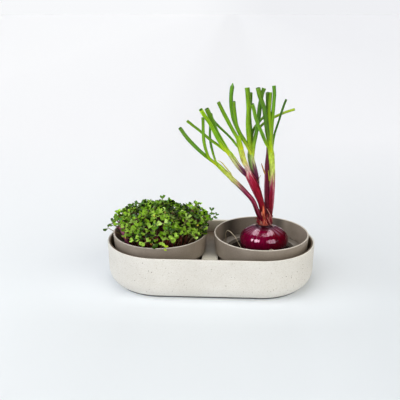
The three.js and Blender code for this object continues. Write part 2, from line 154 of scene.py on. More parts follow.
# ---------------------------------------------------------------- materials
class Shader:
    """A node material around one Principled shader."""

    def __init__(self, name, **sockets):
        self.mat = bpy.data.materials.new(name)
        self.mat.use_nodes = True
        self.tree = self.mat.node_tree
        self.bsdf = self.tree.nodes["Principled BSDF"]
        for key, value in sockets.items():
            self.bsdf.inputs[key.replace("_", " ")].default_value = value
        self._coords = None

    def new(self, kind, inputs=None, **props):
        node = self.tree.nodes.new(kind)
        for key, value in props.items():
            setattr(node, key, value)
        for key, value in (inputs or {}).items():
            if isinstance(value, bpy.types.NodeSocket):
                self.tree.links.new(value, node.inputs[key])
            else:
                node.inputs[key].default_value = value
        return node

    def coords(self):
        if self._coords is None:
            self._coords = self.new("ShaderNodeTexCoord").outputs["Object"]
        return self._coords

    def uv(self, scale):
        along = self.new("ShaderNodeUVMap", uv_map="along").outputs["UV"]
        return self.new("ShaderNodeMapping", {"Vector": along, "Scale": scale}).outputs["Vector"]

    def stretched(self, scale):
        return self.new("ShaderNodeMapping", {"Vector": self.coords(), "Scale": scale}).outputs["Vector"]

    def axis(self, which):
        split = self.new("ShaderNodeSeparateXYZ", {"Vector": self.coords()})
        return split.outputs[which]

    def noise(self, scale, detail=3.0, rough=0.55, vector=None):
        node = self.new("ShaderNodeTexNoise", {"Vector": vector or self.coords(), "Scale": scale,
                                               "Detail": detail, "Roughness": rough})
        return node.outputs["Fac"]

    def cells(self, scale, randomness=1.0):
        node = self.new("ShaderNodeTexVoronoi", {"Vector": self.coords(), "Scale": scale,
                                                 "Randomness": randomness})
        return node.outputs["Distance"], node.outputs["Color"]

    def map(self, value, a, b, c=0.0, d=1.0):
        node = self.new("ShaderNodeMapRange", {"Value": value, "From Min": a, "From Max": b,
                                               "To Min": c, "To Max": d})
        return node.outputs["Result"]

    def ramp(self, value, stops):
        node = self.new("ShaderNodeValToRGB", {"Fac": value})
        elements = node.color_ramp.elements
        while len(elements) < len(stops):
            elements.new(0.5)
        for e, (at, colour) in zip(elements, stops):
            e.position = at
            e.color = (*[float(c) for c in colour], 1.0)
        return node.outputs["Color"]

    def mix(self, fac, a, b, blend="MIX"):
        node = self.tree.nodes.new("ShaderNodeMix")
        node.data_type = "RGBA"
        node.blend_type = blend
        for index, value in ((0, fac), (6, a), (7, b)):
            if isinstance(value, bpy.types.NodeSocket):
                self.tree.links.new(value, node.inputs[index])
            elif index == 0:
                node.inputs[index].default_value = value
            else:
                node.inputs[index].default_value = (*[float(c) for c in value], 1.0)
        return node.outputs[2]

    def math(self, op, a, b=None, clamp=False):
        node = self.tree.nodes.new("ShaderNodeMath")
        node.operation = op
        node.use_clamp = clamp
        for index, value in ((0, a), (1, b)):
            if value is None:
                continue
            if isinstance(value, bpy.types.NodeSocket):
                self.tree.links.new(value, node.inputs[index])
            else:
                node.inputs[index].default_value = value
        return node.outputs[0]

    def tint(self):
        return self.new("ShaderNodeVertexColor", layer_name="tint").outputs["Color"]

    def set(self, socket, value):
        self.tree.links.new(value, self.bsdf.inputs[socket])

    def bump(self, height, strength, distance):
        node = self.new("ShaderNodeBump", {"Height": height, "Strength": strength, "Distance": distance})
        self.tree.links.new(node.outputs["Normal"], self.bsdf.inputs["Normal"])


def speckled_cream():
    s = Shader("cream_plastic", Specular_IOR_Level=0.12)
    base = s.ramp(s.noise(26, 3), [(0.36, (0.718, 0.696, 0.654)), (0.64, (0.764, 0.744, 0.705))])
    fine = s.ramp(s.noise(520, 3, 0.6), [(0.3, (0.93, 0.92, 0.9)), (0.7, (1.0, 1.0, 1.0))])
    base = s.mix(1.0, base, fine, "MULTIPLY")
    # Faint small fibres, then fewer and darker grains.
    near, pick = s.cells(520)
    small = s.map(near, 0.26, 0.14)
    base = s.mix(s.math("MULTIPLY", small, 0.55), base, (0.46, 0.40, 0.31))
    near, pick = s.cells(265)
    chance = s.new("ShaderNodeSeparateColor", {"Color": pick}).outputs[0]
    size = s.map(chance, 0.12, 1.0, 0.0, 0.22)
    grain = s.math("MULTIPLY", s.math("SUBTRACT", size, near), 12.0, clamp=True)
    tone = s.ramp(s.noise(300, 1), [(0.4, (0.17, 0.14, 0.10)), (0.6, (0.36, 0.31, 0.25))])
    base = s.mix(s.math("MULTIPLY", grain, 0.8), base, tone)
    # The rim's top is painted a little darker, a painted shade that tones down the light it catches.
    rim_painted_shading = s.map(s.axis("Z"), 0.0582, 0.0592)
    base = s.mix(s.math("MULTIPLY", rim_painted_shading, 0.5), base, (0.68, 0.66, 0.625))
    s.set("Base Color", base)
    s.set("Roughness", s.map(s.noise(140, 3), 0.3, 0.7, 0.46, 0.6))
    s.bump(s.noise(1300, 2), 0.06, 0.0004)
    return s.mat


def matte_taupe(name, low, high, rim_z=None, rim_painted_shading=None):
    s = Shader(name, Specular_IOR_Level=0.24)
    base = s.ramp(s.noise(34, 3), [(0.36, low), (0.64, high)])
    fine = s.ramp(s.noise(640, 3, 0.6), [(0.3, (0.9, 0.9, 0.9)), (0.7, (1.04, 1.04, 1.04))])
    base = s.mix(1.0, base, fine, "MULTIPLY")
    near, pick = s.cells(420)
    base = s.mix(s.math("MULTIPLY", s.map(near, 0.16, 0.08), 0.25), base, (0.5, 0.45, 0.39))
    if rim_z is not None:
        # Inside, the wall is painted darker behind the bulb and paler at both ends: painted shadows of the bulb and
        # stems, and painted light at the ends.
        across = s.map(s.axis("X"), 0.00735, 0.12935, -1.0, 1.0)
        away = s.new("ShaderNodeVectorMath", {0: s.coords(), 1: (0.06835, 0.0, 0.0)}, operation="SUBTRACT").outputs["Vector"]
        away = s.new("ShaderNodeVectorMath", {0: away, 1: (1.0, 1.0, 0.0)}, operation="MULTIPLY").outputs["Vector"]
        away = s.new("ShaderNodeVectorMath", {0: away}, operation="LENGTH").outputs["Value"]
        inside = s.math("MULTIPLY", s.map(away, 0.0622, 0.0617), s.map(s.axis("Y"), -0.012, 0.012))
        left = s.map(s.math("ABSOLUTE", s.math("ADD", across, 0.68)), 0.26, 0.02, 0.0, 0.62)
        right = s.map(s.math("ABSOLUTE", s.math("SUBTRACT", across, 0.44)), 0.14, 0.02, 0.0, 0.3)
        ends = s.math("MAXIMUM", s.map(across, -0.80, -0.92), s.map(across, 0.50, 0.62))
        wall = s.math("MULTIPLY", s.math("SUBTRACT", 1.0, left), s.math("SUBTRACT", 1.0, right))
        wall = s.math("ADD", s.math("MULTIPLY", s.math("SUBTRACT", s.math("MULTIPLY", wall, s.math("ADD", s.math("MULTIPLY", ends, 0.66), 0.72)), 1.0), inside), 1.0)
        # The other bowl's wall is painted paler at its left inside, a painted light.
        away = s.new("ShaderNodeVectorMath", {0: s.coords(), 1: (-0.06835, 0.0, 0.0)}, operation="SUBTRACT").outputs["Vector"]
        away = s.new("ShaderNodeVectorMath", {0: away, 1: (1.0, 1.0, 0.0)}, operation="MULTIPLY").outputs["Vector"]
        away = s.new("ShaderNodeVectorMath", {0: away}, operation="LENGTH").outputs["Value"]
        open_ = s.math("MULTIPLY", s.map(away, 0.0622, 0.0617), s.map(s.axis("X"), -0.104, -0.116, 0.0, 1.7))
        wall = s.math("MULTIPLY", wall, s.math("ADD", open_, 1.0))
        grey = s.new("ShaderNodeCombineColor", {0: wall, 1: wall, 2: wall}).outputs["Color"]
        base = s.mix(1.0, base, grey, "MULTIPLY")
        # The rim's top is painted paler, a painted highlight for the light it catches.
        edge = s.map(s.axis("Z"), rim_z - 0.0009, rim_z - 0.0001)
        base = s.mix(s.math("MULTIPLY", edge, 0.7), base, rim_painted_shading)
    s.set("Base Color", base)
    s.set("Roughness", s.map(s.noise(120, 3), 0.3, 0.7, 0.35, 0.46))
    s.bump(s.noise(1500, 2), 0.07, 0.0004)
    return s.mat


def lining_taupe(name, low, high, pale):
    """The liner; its rib is painted paler towards the front, a painted light where the light falls on it."""
    s = Shader(name, Specular_IOR_Level=0.12)
    base = s.ramp(s.noise(34, 3), [(0.36, low), (0.64, high)])
    # The back wall between the bowls is painted paler towards its rim, a painted light.
    back_wall_painted_light = s.math("MULTIPLY", s.map(s.axis("Y"), 0.045, 0.062), s.map(s.math("ABSOLUTE", s.axis("X")), 0.055, 0.035))
    back_wall_painted_light = s.math("MULTIPLY", back_wall_painted_light, s.map(s.axis("Z"), 0.041, 0.058, 0.35, 1.0))
    back_wall_painted_light = s.math("MULTIPLY", back_wall_painted_light, s.map(s.axis("Z"), 0.0411, 0.0417))
    base = s.mix(back_wall_painted_light, base, (0.56, 0.50, 0.40))
    # Painted light on the rib's top: paler towards the front.
    near = s.ramp(s.map(s.axis("Y"), 0.040, -0.030), [(k, (g, g, g)) for k, g in (
        (0.0, 0.0), (0.24, 0.04), (0.41, 0.15), (0.5, 0.27), (0.66, 0.40), (0.74, 0.50), (0.83, 0.72), (1.0, 1.0))])
    top = s.map(s.axis("Z"), 0.036, 0.040)
    below = s.map(s.axis("Z"), 0.043, 0.042)
    rib = s.math("MULTIPLY", s.math("MULTIPLY", near, top), below)
    base = s.mix(rib, base, pale)
    fine = s.ramp(s.noise(640, 3, 0.6), [(0.3, (0.9, 0.9, 0.9)), (0.7, (1.04, 1.04, 1.04))])
    base = s.mix(1.0, base, fine, "MULTIPLY")
    s.set("Base Color", base)
    s.set("Roughness", s.map(s.noise(120, 3), 0.3, 0.7, 0.5, 0.62))
    s.bump(s.noise(1500, 2), 0.07, 0.0004)
    return s.mat


def damp_soil(name):
    s = Shader(name, Specular_IOR_Level=0.03)
    base = s.ramp(s.noise(210, 5, 0.7), [(0.3, (0.006, 0.0035, 0.002)), (0.55, (0.018, 0.010, 0.006)),
                                         (0.75, (0.05, 0.03, 0.017))])
    s.set("Base Color", base)
    s.set("Roughness", s.map(s.noise(400, 3), 0.3, 0.7, 0.6, 0.95))
    s.bump(s.noise(900, 5, 0.7), 0.5, 0.0012)
    return s.mat


def glossy_skin():
    s = Shader("onion_skin", Specular_IOR_Level=0.36, Specular_Tint=(1.0, 0.68, 0.86, 1.0))
    streak = s.noise(1.0, 4, 0.6, s.uv((90, 2.2, 1)))
    fine = s.noise(1.0, 3, 0.6, s.uv((300, 5, 1)))
    base = s.mix(s.map(streak, 0.35, 0.7, 0.0, 0.75), s.tint(), (0.03, 0.0005, 0.005))
    base = s.mix(s.map(fine, 0.55, 0.8, 0.0, 0.16), base, (0.34, 0.004, 0.09))
    # Painted shade: darker low down on the right.
    low = s.math("MULTIPLY", s.map(s.axis("Z"), 0.077, 0.053), s.map(s.axis("X"), 0.042, 0.089, 0.34, 0.95))
    base = s.mix(low, base, (0.03, 0.0004, 0.004))
    base = s.mix(1.0, base, (0.98, 0.6, 0.82), "MULTIPLY")
    s.set("Base Color", base)
    strip = s.noise(1.0, 2, 0.5, s.uv((110, 1.2, 1)))
    s.set("Specular IOR Level", s.map(strip, 0.40, 0.60, 0.10, 0.60))
    s.set("Roughness", s.map(fine, 0.3, 0.7, 0.06, 0.13))
    s.bump(s.math("ADD", streak, s.math("MULTIPLY", fine, 0.4)), 0.018, 0.0005)
    return s.mat


def streaked(name, around, along, dark, light, rough, gloss=0.5, lift=0.12):
    """Tinted by vertex, with streaks that run along the piece."""
    s = Shader(name, Specular_IOR_Level=gloss)
    streak = s.noise(1.0, 4, 0.6, s.uv((around, along, 1)))
    mottle = s.noise(160, 3)
    base = s.mix(1.0, s.tint(), s.ramp(streak, [(0.3, dark), (0.7, light)]), "MULTIPLY")
    base = s.mix(1.0, base, s.ramp(mottle, [(0.3, (0.88, 0.9, 0.9)), (0.7, (1.06, 1.04, 1.0))]), "MULTIPLY")
    s.set("Base Color", base)
    s.set("Roughness", s.map(streak, 0.3, 0.7, rough[0], rough[1]))
    s.bump(streak, lift, 0.0006)
    return s.mat


def seedling_leaf():
    s = Shader("greens", Specular_IOR_Level=0.04)
    vein = s.noise(900, 3, 0.6)
    base = s.mix(1.0, s.tint(), s.ramp(vein, [(0.3, (0.8, 0.84, 0.8)), (0.7, (1.12, 1.08, 1.1))]), "MULTIPLY")
    s.set("Base Color", base)
    s.set("Roughness", s.map(s.noise(500, 2), 0.3, 0.7, 0.36, 0.52))
    s.bump(vein, 0.12, 0.0005)
    return s.mat


CREAM = speckled_cream()
TAUPE_BOWL = matte_taupe("taupe_bowl", (0.258, 0.214, 0.173), (0.300, 0.252, 0.206), 0.0695, (0.70, 0.65, 0.575))
TAUPE_LINER = lining_taupe("taupe_liner", (0.126, 0.090, 0.058), (0.146, 0.106, 0.070), (0.90, 0.865, 0.75))
# The insert is the bowls' taupe painted darker, a painted shade for the shade it lies in.
TAUPE_INSERT = matte_taupe("taupe_insert", (0.160, 0.134, 0.107), (0.182, 0.154, 0.125))
SOIL = damp_soil("growing_medium")
SKIN = glossy_skin()
PAPER = streaked("onion_papery_skin", 14, 2.5, (0.5, 0.45, 0.45), (1.3, 1.25, 1.25), (0.42, 0.6), 0.1, 0.3)
STEM = streaked("onion_stem", 12, 2.2, (0.42, 0.30, 0.36), (1.46, 1.52, 1.48), (0.24, 0.36), 0.12, 0.15)
LEAF = streaked("onion_leaf", 10, 1.6, (0.52, 0.61, 0.38), (1.40, 1.33, 1.32), (0.24, 0.36), 0.26, 0.12)
ROOT = streaked("root", 4, 6, (0.6, 0.58, 0.55), (1.15, 1.15, 1.15), (0.5, 0.75), 0.15, 0.3)
GREEN = seedling_leaf()

# ---------------------------------------------------------------- tray
TRAY_HALF = 148.3 / 2
TRAY_STRETCH = 140 - TRAY_HALF
TRAY_FOOT = TRAY_HALF - 0.7 - 22


def dish(inset, under, wall, top, lip, steps):
    r_out, r_in = 22 - inset, 22 - inset - wall
    out = TRAY_HALF - inset
    rows = [(0, under), (TRAY_FOOT * 0.5, under)]
    rows += arc(TRAY_FOOT, 22, r_out, -90, 0, steps)
    rows += [(out - 0.35 * (out - TRAY_FOOT - r_out), 45)]
    rows += arc(out - lip, top - lip, lip, 0, 90, 5)
    rows += arc(out - wall + lip, top - lip, lip, 90, 180, 5)
    rows += [(out - wall - 0.35 * (out - TRAY_FOOT - r_out), 45)]
    rows += arc(TRAY_FOOT, 22, r_in, 0, -90, steps)
    rows += [(TRAY_FOOT * 0.5, under + wall), (0, under + wall)]
    return rows


v, f = turned(dish(0, 0, 2.2, 59.4, 0.9, 14), 160, TRAY_STRETCH)
piece("tray_shell_moulded", v, f, [CREAM], "tray", ["tray_shell"], weld=0.002)


def cross_rib():
    """Raised rib of the liner between the two bowls; its ends run into the liner's wall."""
    half, top, r = 11.3, 41.0, 2.5
    section = [(-half, 2.8), (-half, 20.0)]
    section += [(-half + r - r * math.cos(a), top - r + r * math.sin(a)) for a in np.linspace(0, math.pi / 2, 7)]
    section += [(half - r + r * math.sin(a), top - r + r * math.cos(a)) for a in np.linspace(0, math.pi / 2, 7)]
    section += [(half, 20.0), (half, 2.8)]
    ys = np.linspace(-1, 1, 61)
    verts = np.array([(x, y, z) for y in ys for x, z in section])
    z = verts[:, 2]
    wall = TRAY_FOOT + np.where(z < 22, np.sqrt(np.maximum(18.7**2 - (22 - z) ** 2, 0)), 18.7 + 0.7 * (z - 22) / 37.4)
    verts[:, 1] *= wall
    n = len(section)
    faces = [(i * n + k, i * n + (k + 1) % n, (i + 1) * n + (k + 1) % n, (i + 1) * n + k)
             for i in range(len(ys) - 1) for k in range(n)]
    faces += [tuple(range(n)), tuple((len(ys) - 1) * n + k for k in range(n - 1, -1, -1))]
    return verts, faces


v, f = turned(dish(2.5, 2.5, 1.6, 58.9, 0.6, 14), 160, TRAY_STRETCH)
rib_v, rib_f = cross_rib()
f = list(f) + [tuple(k + len(v) for k in q) for q in rib_f]
piece("tray_liner_moulded", np.concatenate([v, rib_v]), f, [TAUPE_LINER], "tray", ["tray_liner"], weld=0.002)

# ---------------------------------------------------------------- bowls and sieve inserts
LEFT_X, RIGHT_X = -68.35, 68.35
BOWL = [(0, 4.6), (24, 4.6), *arc(46.0, 12.6, 8, -90, 0, 8), (55.6, 29.0)]
BOWL += arc(57.9, 40.5, 1.0, 180, 90, 4)
BOWL += arc(58.1, 45.6, 4.1, -90, 0, 8)[0:]
BOWL += [(62.9, 57.0), *arc(63.6 - 0.95, 69.5 - 0.95, 0.95, 0, 90, 5), *arc(61.4 + 0.95, 69.5 - 0.95, 0.95, 90, 180, 5)]
BOWL += [(60.7, 57.0), (60.05, 45.4), *arc(58.75, 45.0, 1.3, 0, -90, 5), (54.9, 43.7), (54.7, 43.5)]
BOWL += [(53.2, 29.0), *arc(46.0, 12.6, 5.8, 0, -90, 8), (24, 6.8), (0, 6.8)]
INSERT = [(0, 33.4), (22, 33.4), (43.6, 33.4), (44.7, 33.9), (45.2, 34.8), (48.4, 43.3), (49.2, 44.0), (58.5, 44.0)]
INSERT += [(59.4, 44.5), (59.5, 45.2), (59.1, 45.7), (47.9, 45.7), (47.3, 45.5), (47.0, 45.0), (44.0, 36.4), (43.2, 35.4), (42.4, 35.0), (22, 35.0), (0, 35.0)]


def drill_points():
    for q in range(-2, 3):
        for s in range(-2, 3):
            if abs(q + s) <= 2:
                yield 15 * (q + s / 2), 15 * s * math.sqrt(0.75)


def drilled(obj, cx):
    """Round drain holes cut through the sieve's floor."""
    cutters = []
    for x, y in drill_points():
        bm = bmesh.new()
        bmesh.ops.create_cone(bm, cap_ends=True, segments=24, radius1=2.6 * MM, radius2=2.6 * MM, depth=8 * MM)
        bmesh.ops.translate(bm, verts=bm.verts, vec=((x + cx) * MM, y * MM, 34.2 * MM))
        cutters.append(bm)
    mesh = bpy.data.meshes.new("drill")
    joined = bmesh.new()
    for bm in cutters:
        part = bpy.data.meshes.new("drill_part")
        bm.to_mesh(part)
        bm.free()
        joined.from_mesh(part)
        bpy.data.meshes.remove(part)
    joined.to_mesh(mesh)
    joined.free()
    drill = bpy.data.objects.new("drill", mesh)
    scene.collection.objects.link(drill)
    cut = obj.modifiers.new("holes", "BOOLEAN")
    cut.operation = "DIFFERENCE"
    cut.solver = "EXACT"
    cut.object = drill
    bpy.context.view_layer.update()
    done = bpy.data.meshes.new_from_object(obj.evaluated_get(bpy.context.evaluated_depsgraph_get()))
    obj.modifiers.clear()
    old = obj.data
    obj.data = done
    bpy.data.meshes.remove(old)
    bpy.data.objects.remove(drill)
    bpy.data.meshes.remove(mesh)
    done.polygons.foreach_set("use_smooth", np.ones(len(done.polygons), bool))
    done.set_sharp_from_angle(angle=math.radians(42))


for side, x in (("left", LEFT_X), ("right", RIGHT_X)):
    v, f = turned(BOWL, 160, cx=x)
    piece(f"bowl_{side}_moulded", v, f, [TAUPE_BOWL], f"{side}_bowl", [f"bowl_{side}"], weld=0.002)
    v, f = turned(INSERT, 144, cx=x)
    sieve = piece(f"sieve_{side}_moulded", v, f, [TAUPE_INSERT], f"{side}_insert", [f"sieve_insert_{side}"],
                  weld=0.002)
    drilled(sieve, x)


# ---------------------------------------------------------------- growing medium
def value_noise(p, seed, scale):
    """Smooth noise from -1 to 1 at points p."""
    r = np.random.default_rng(seed)
    table = r.uniform(-1, 1, (16, 16, 16))
    q = np.asarray(p, float) / scale
    i = np.floor(q).astype(int)
    w = q - i
    w = w * w * (3 - 2 * w)
    total = np.zeros(len(q))
    for dx in (0, 1):
        for dy in (0, 1):
            for dz in (0, 1):
                k = (np.where(dx, w[:, 0], 1 - w[:, 0]) * np.where(dy, w[:, 1], 1 - w[:, 1])
                     * np.where(dz, w[:, 2], 1 - w[:, 2]))
                total += k * table[(i[:, 0] + dx) % 16, (i[:, 1] + dy) % 16, (i[:, 2] + dz) % 16]
    return total


BULB_X, BULB_R = 72.5, 32.9
BULB_ROWS = np.array([(0.0, 36.0), (0.22, 36.3), (0.5, 38.4), (0.75, 42.8), (0.91, 48.4), (0.985, 55), (1.0, 60),
                      (0.955, 66.0), (0.83, 71.2), (0.615, 75.3), (0.43, 77.8), (0.345, 80.0)])


def soil(name, cx, body, node, seed, bulb):
    rows = [(0, 35.35), (21, 35.35), (41.6, 35.35), (43.2, 37.0), (44.4, 39.8)]
    rows += [(45.1, 41.4), (44.4, 42.4), (43.4, 42.8)]
    rows += [(r, 43.0) for r in np.linspace(42, 0, 29)]
    v, f = turned(rows, 120, cx=cx)
    top = v[:, 2] > 42.2
    bumps = 0.9 * value_noise(v, seed, 5.0) + 0.7 * value_noise(v, seed + 1, 2.3) + 0.4 * value_noise(v, seed + 2, 1.1)
    v[:, 2] += np.where(top, bumps - 0.3, 0)
    if bulb:
        d = np.hypot(v[:, 0] - BULB_X, v[:, 1])
        under = np.interp(d / BULB_R, BULB_ROWS[:5, 0], BULB_ROWS[:5, 1])
        v[:, 2] = np.where(top & (d < 26), np.minimum(v[:, 2], under - 0.35), v[:, 2])
    r = np.random.default_rng(seed)
    verts, faces = [v], [np.array(f, int)]
    count = len(v)
    # Loose crumbs and short coir fibres on the surface.
    for k in range(420):
        a, rad = r.uniform(0, 2 * math.pi), 43.2 * math.sqrt(r.uniform(0, 1))
        x, y = cx + rad * math.cos(a), rad * math.sin(a)
        if bulb and math.hypot(x - BULB_X, y) < 26.5:
            continue
        size = r.uniform(0.5, 1.5)
        dirs = r.normal(size=(6, 3))
        q, _ = np.linalg.qr(dirs[:3].T)
        pts = np.array([q[:, 0], -q[:, 0], q[:, 1], -q[:, 1], q[:, 2], -q[:, 2]]) * r.uniform(0.7, 1.3, (6, 1))
        pts *= size
        pts[:, 2] *= 0.7
        verts.append(pts + np.array([x, y, 43.0 + size * 0.25]))
        tris = [(0, 2, 4), (2, 1, 4), (1, 3, 4), (3, 0, 4), (2, 0, 5), (1, 2, 5), (3, 1, 5), (0, 3, 5)]
        faces.append(np.array(tris, int) + count)
        count += 6
    for k in range(110):
        a, rad = r.uniform(0, 2 * math.pi), 41 * math.sqrt(r.uniform(0, 1))
        x, y = cx + rad * math.cos(a), rad * math.sin(a)
        if bulb and math.hypot(x - BULB_X, y) < 29:
            continue
        turn, length = r.uniform(0, 2 * math.pi), r.uniform(3, 8)
        bend = r.uniform(-0.5, 0.5)
        ring = []
        for j in range(5):
            t = j / 4 - 0.5
            c = np.array([x + length * t * math.cos(turn + bend * t), y + length * t * math.sin(turn + bend * t),
                          43.5 + 0.5 * math.cos(t * 3)])
            side = np.array([-math.sin(turn), math.cos(turn), 0])
            w = 0.16
            ring += [c + side * w, c + np.array([0, 0, w]), c - side * w, c - np.array([0, 0, w])]
        verts.append(np.array(ring))
        quads = [(j * 4 + i, j * 4 + (i + 1) % 4, j * 4 + 4 + (i + 1) % 4, j * 4 + 4 + i) for j in range(4) for i in range(4)]
        quads += [(3, 2, 1, 0), (16, 17, 18, 19)]
        faces.append(np.array(quads, int) + count)
        count += 20
    flat = [tuple(q) for block in faces for q in block.tolist()]
    return piece(name, np.concatenate(verts), flat, [SOIL], body, [node], weld=0.0005, sharp=60)


soil("soil_left", LEFT_X, "left_insert", "growing_medium_left", 21, False)
soil("soil_right", RIGHT_X, "right_insert", "growing_medium_right", 33, True)


# ---------------------------------------------------------------- tubes along a line
def curve_points(points, n):
    """n points evenly spaced along the smooth curve through the given points."""
    p = np.array(points, float)
    p = np.vstack([2 * p[0] - p[1], p, 2 * p[-1] - p[-2]])
    out = []
    t = np.linspace(0, 1, 24, endpoint=False)[:, None]
    for i in range(1, len(p) - 2):
        p0, p1, p2, p3 = p[i - 1], p[i], p[i + 1], p[i + 2]
        m0, m1 = 0.5 * (p2 - p0), 0.5 * (p3 - p1)
        out.append((2 * t**3 - 3 * t**2 + 1) * p1 + (t**3 - 2 * t**2 + t) * m0
                   + (-2 * t**3 + 3 * t**2) * p2 + (t**3 - t**2) * m1)
    c = np.vstack([*out, p[-2][None]])
    s = np.concatenate([[0], np.cumsum(np.linalg.norm(np.diff(c, axis=0), axis=1))])
    even = np.linspace(0, s[-1], n)
    return np.stack([np.interp(even, s, c[:, k]) for k in range(3)], 1), s[-1]


def frames(c, first=(0.0, -1.0, 0.0)):
    """Tangent and two normals at each point, turning as little as possible."""
    tan = np.gradient(c, axis=0)
    tan /= np.linalg.norm(tan, axis=1, keepdims=True)
    n = np.array(first, float)
    a = np.empty_like(c)
    for i in range(len(c)):
        n = n - tan[i] * (n @ tan[i])
        n /= np.linalg.norm(n)
        a[i] = n
    return tan, a, np.cross(tan, a)


def tube(points, radius, sides, rings, shape=None, first=(0.0, -1.0, 0.0), wall=0.0, depth=0.0, slant=0.0, point=False):
    """A closed tube. radius(t) in mm, shape(t, angle) scales it. wall and depth open its far end."""
    c, length = curve_points(points, rings)
    tan, a, b = frames(c, first)
    t = np.linspace(0, 1, rings)
    ang = np.linspace(0, 2 * math.pi, sides, endpoint=False)
    rad = np.array([radius(x) for x in t])
    T, A = np.meshgrid(t, ang, indexing="ij")
    scale = np.ones_like(T) if shape is None else shape(T, A)
    off = (a[:, None] * np.cos(A)[..., None] + b[:, None] * np.sin(A)[..., None])
    verts = c[:, None] + off * (rad[:, None] * scale)[..., None]
    # A slanted cut at the far end.
    lean = slant * np.cos(A) * rad[-1]
    verts += tan[-1] * (lean * smoothstep(T, 0.9, 1.0))[..., None]
    grid = [verts]
    us, vs = [A / (2 * math.pi)], [T * length / 20.0]
    if wall:
        down = np.linspace(1.0, 1.0 - depth / length, 6)
        inner = []
        for x in down:
            p = np.array([np.interp(x, t, verts[:, k, j]) for k in range(sides) for j in range(3)]).reshape(sides, 3)
            mid = p.mean(0)
            out = p - mid
            d = np.linalg.norm(out, axis=1, keepdims=True)
            inner.append(mid + out * np.maximum(d - wall, d * 0.3) / d)
        grid.append(np.array(inner))
        us.append(np.repeat(ang[None] / (2 * math.pi), 6, 0))
        vs.append(np.repeat((down * length / 20.0)[:, None], sides, 1))
    verts = np.concatenate(grid)
    m = len(verts)
    u, v = np.concatenate(us).ravel(), np.concatenate(vs).ravel()
    faces = []
    for i in range(m - 1):
        for k in range(sides):
            n = (k + 1) % sides
            faces.append((i * sides + k, i * sides + n, (i + 1) * sides + n, (i + 1) * sides + k))
    flat = verts.reshape(-1, 3)
    start, end = len(flat), len(flat) + 1
    last = (m - 1) * sides
    tipped = flat[last:].mean(0) + (tan[-1] * rad[-1] * 0.9 if point else 0)
    flat = np.vstack([flat, flat[:sides].mean(0), tipped])
    u, v = np.append(u, [0.5, 0.5]), np.append(v, [v[0], v[last]])
    for k in range(sides):
        n = (k + 1) % sides
        faces.append((start, n, k))
        faces.append((end, last + k, last + n))
    along = np.concatenate([np.repeat(t, sides), np.ones(len(flat) - 2 - rings * sides), [0, 1]])
    around = np.concatenate([np.tile(ang, m), [0, 0]])
    inside = np.concatenate([np.zeros(rings * sides), np.ones((m - rings) * sides), [0, 1.0 if wall else 0.0]])
    return flat, faces, np.stack([u, v], 1), along, around, inside, length


def blend_stops(t, stops):
    """Colour along t from (position, colour) stops."""
    at = [s[0] for s in stops]
    return np.stack([np.interp(t, at, [s[1][k] for s in stops]) for k in range(3)], -1)


# ---------------------------------------------------------------- onion bulb
def fine_rows(rows, n):
    """A smooth curve through the profile rows."""
    c, _ = curve_points([(r, 0.0, z) for r, z in rows], n)
    return c[:, [0, 2]]


def onion_bulb():
    rows = [(fr * BULB_R, z) for fr, z in BULB_ROWS] + [(9.0, 81.0), (5.0, 81.4), (0.0, 81.5)]
    prof = fine_rows(rows, 90)
    prof[:, 0] = np.maximum(prof[:, 0], 0.0)
    n = 160
    ang = np.linspace(0, 2 * math.pi, n, endpoint=False)
    R, A = np.meshgrid(np.arange(len(prof)), ang, indexing="ij")
    r, z = prof[R, 0], prof[R, 1]
    # Faint ribs of the layers below the skin, and a body that isn't quite round.
    high = smoothstep(z, 40, 60) * (1 - 0.4 * smoothstep(z, 70, 80))
    rib = 0.16 * np.cos(13 * A + 0.6 * np.sin(3 * A)) + 0.085 * np.cos(29 * A + 1.7)
    r = r + high * rib * np.minimum(r / 12, 1) - 0.25
    x, y = BULB_X + r * np.cos(A), r * np.sin(A)
    verts = np.stack([x, y, z], -1).reshape(-1, 3)
    m = len(prof)
    faces = []
    for i in range(m - 1):
        for k in range(n):
            j = (k + 1) % n
            faces.append((i * n + k, i * n + j, (i + 1) * n + j, (i + 1) * n + k))
    # Magenta at the left front, crimson at the right; painted shade below and towards the sides, a grey-pink painted
    # sheen on the shoulders, and grey and dry at the top.
    front = np.cos(A + math.pi / 2)
    right = np.cos(A)
    magenta, crimson = np.array([0.225, 0.0003, 0.043]), np.array([0.180, 0.0003, 0.013])
    w = smoothstep(right, -0.1, 0.5)[..., None]
    tint = magenta * (1 - w) + crimson * w
    # Painted shade: darker below, and more so on the right.
    low = smoothstep(z, 62, 46)[..., None]
    tint = tint * (1 - 0.84 * low) * (1 - 0.55 * low * smoothstep(right, -0.2, 0.5)[..., None])
    # Painted shade towards the sides, away from the front.
    edge = smoothstep(front, 0.7, 0.05)[..., None]
    tint = tint * (1 - 0.35 * edge)
    # A grey-pink painted sheen in streaks on both shoulders.
    shoulder_painted_sheen = smoothstep(z, 70.5, 75.0) * np.maximum(smoothstep(right, 0.5, 0.8), smoothstep(-right, 0.5, 0.8))
    band = 0.5 + 0.5 * np.cos(27 * A + 2 * np.sin(5 * A))
    tint = tint + (np.array([0.46, 0.36, 0.40]) - tint) * (0.72 * shoulder_painted_sheen * band)[..., None]
    dry = smoothstep(z, 76.3, 78.4)[..., None]
    grey = np.array([0.155, 0.125, 0.135])
    side = smoothstep(np.abs(right + 0.04), 0.22, 0.6)[..., None]
    tint = tint + (np.array([0.045, 0.006, 0.008]) * (1 - side) + grey * side - tint) * dry * 0.9
    tint = tint * (1 - 0.7 * smoothstep(z, 78.6, 80.0)[..., None])
    uv = np.stack([A / (2 * math.pi), z / 20.0], -1).reshape(-1, 2)
    return piece("onion_bulb_skin", verts, faces, [SKIN], "right_insert", ["onion_bulb"],
                 tint=tint.reshape(-1, 3), uv=uv, weld=0.0005, sharp=70)


onion_bulb()

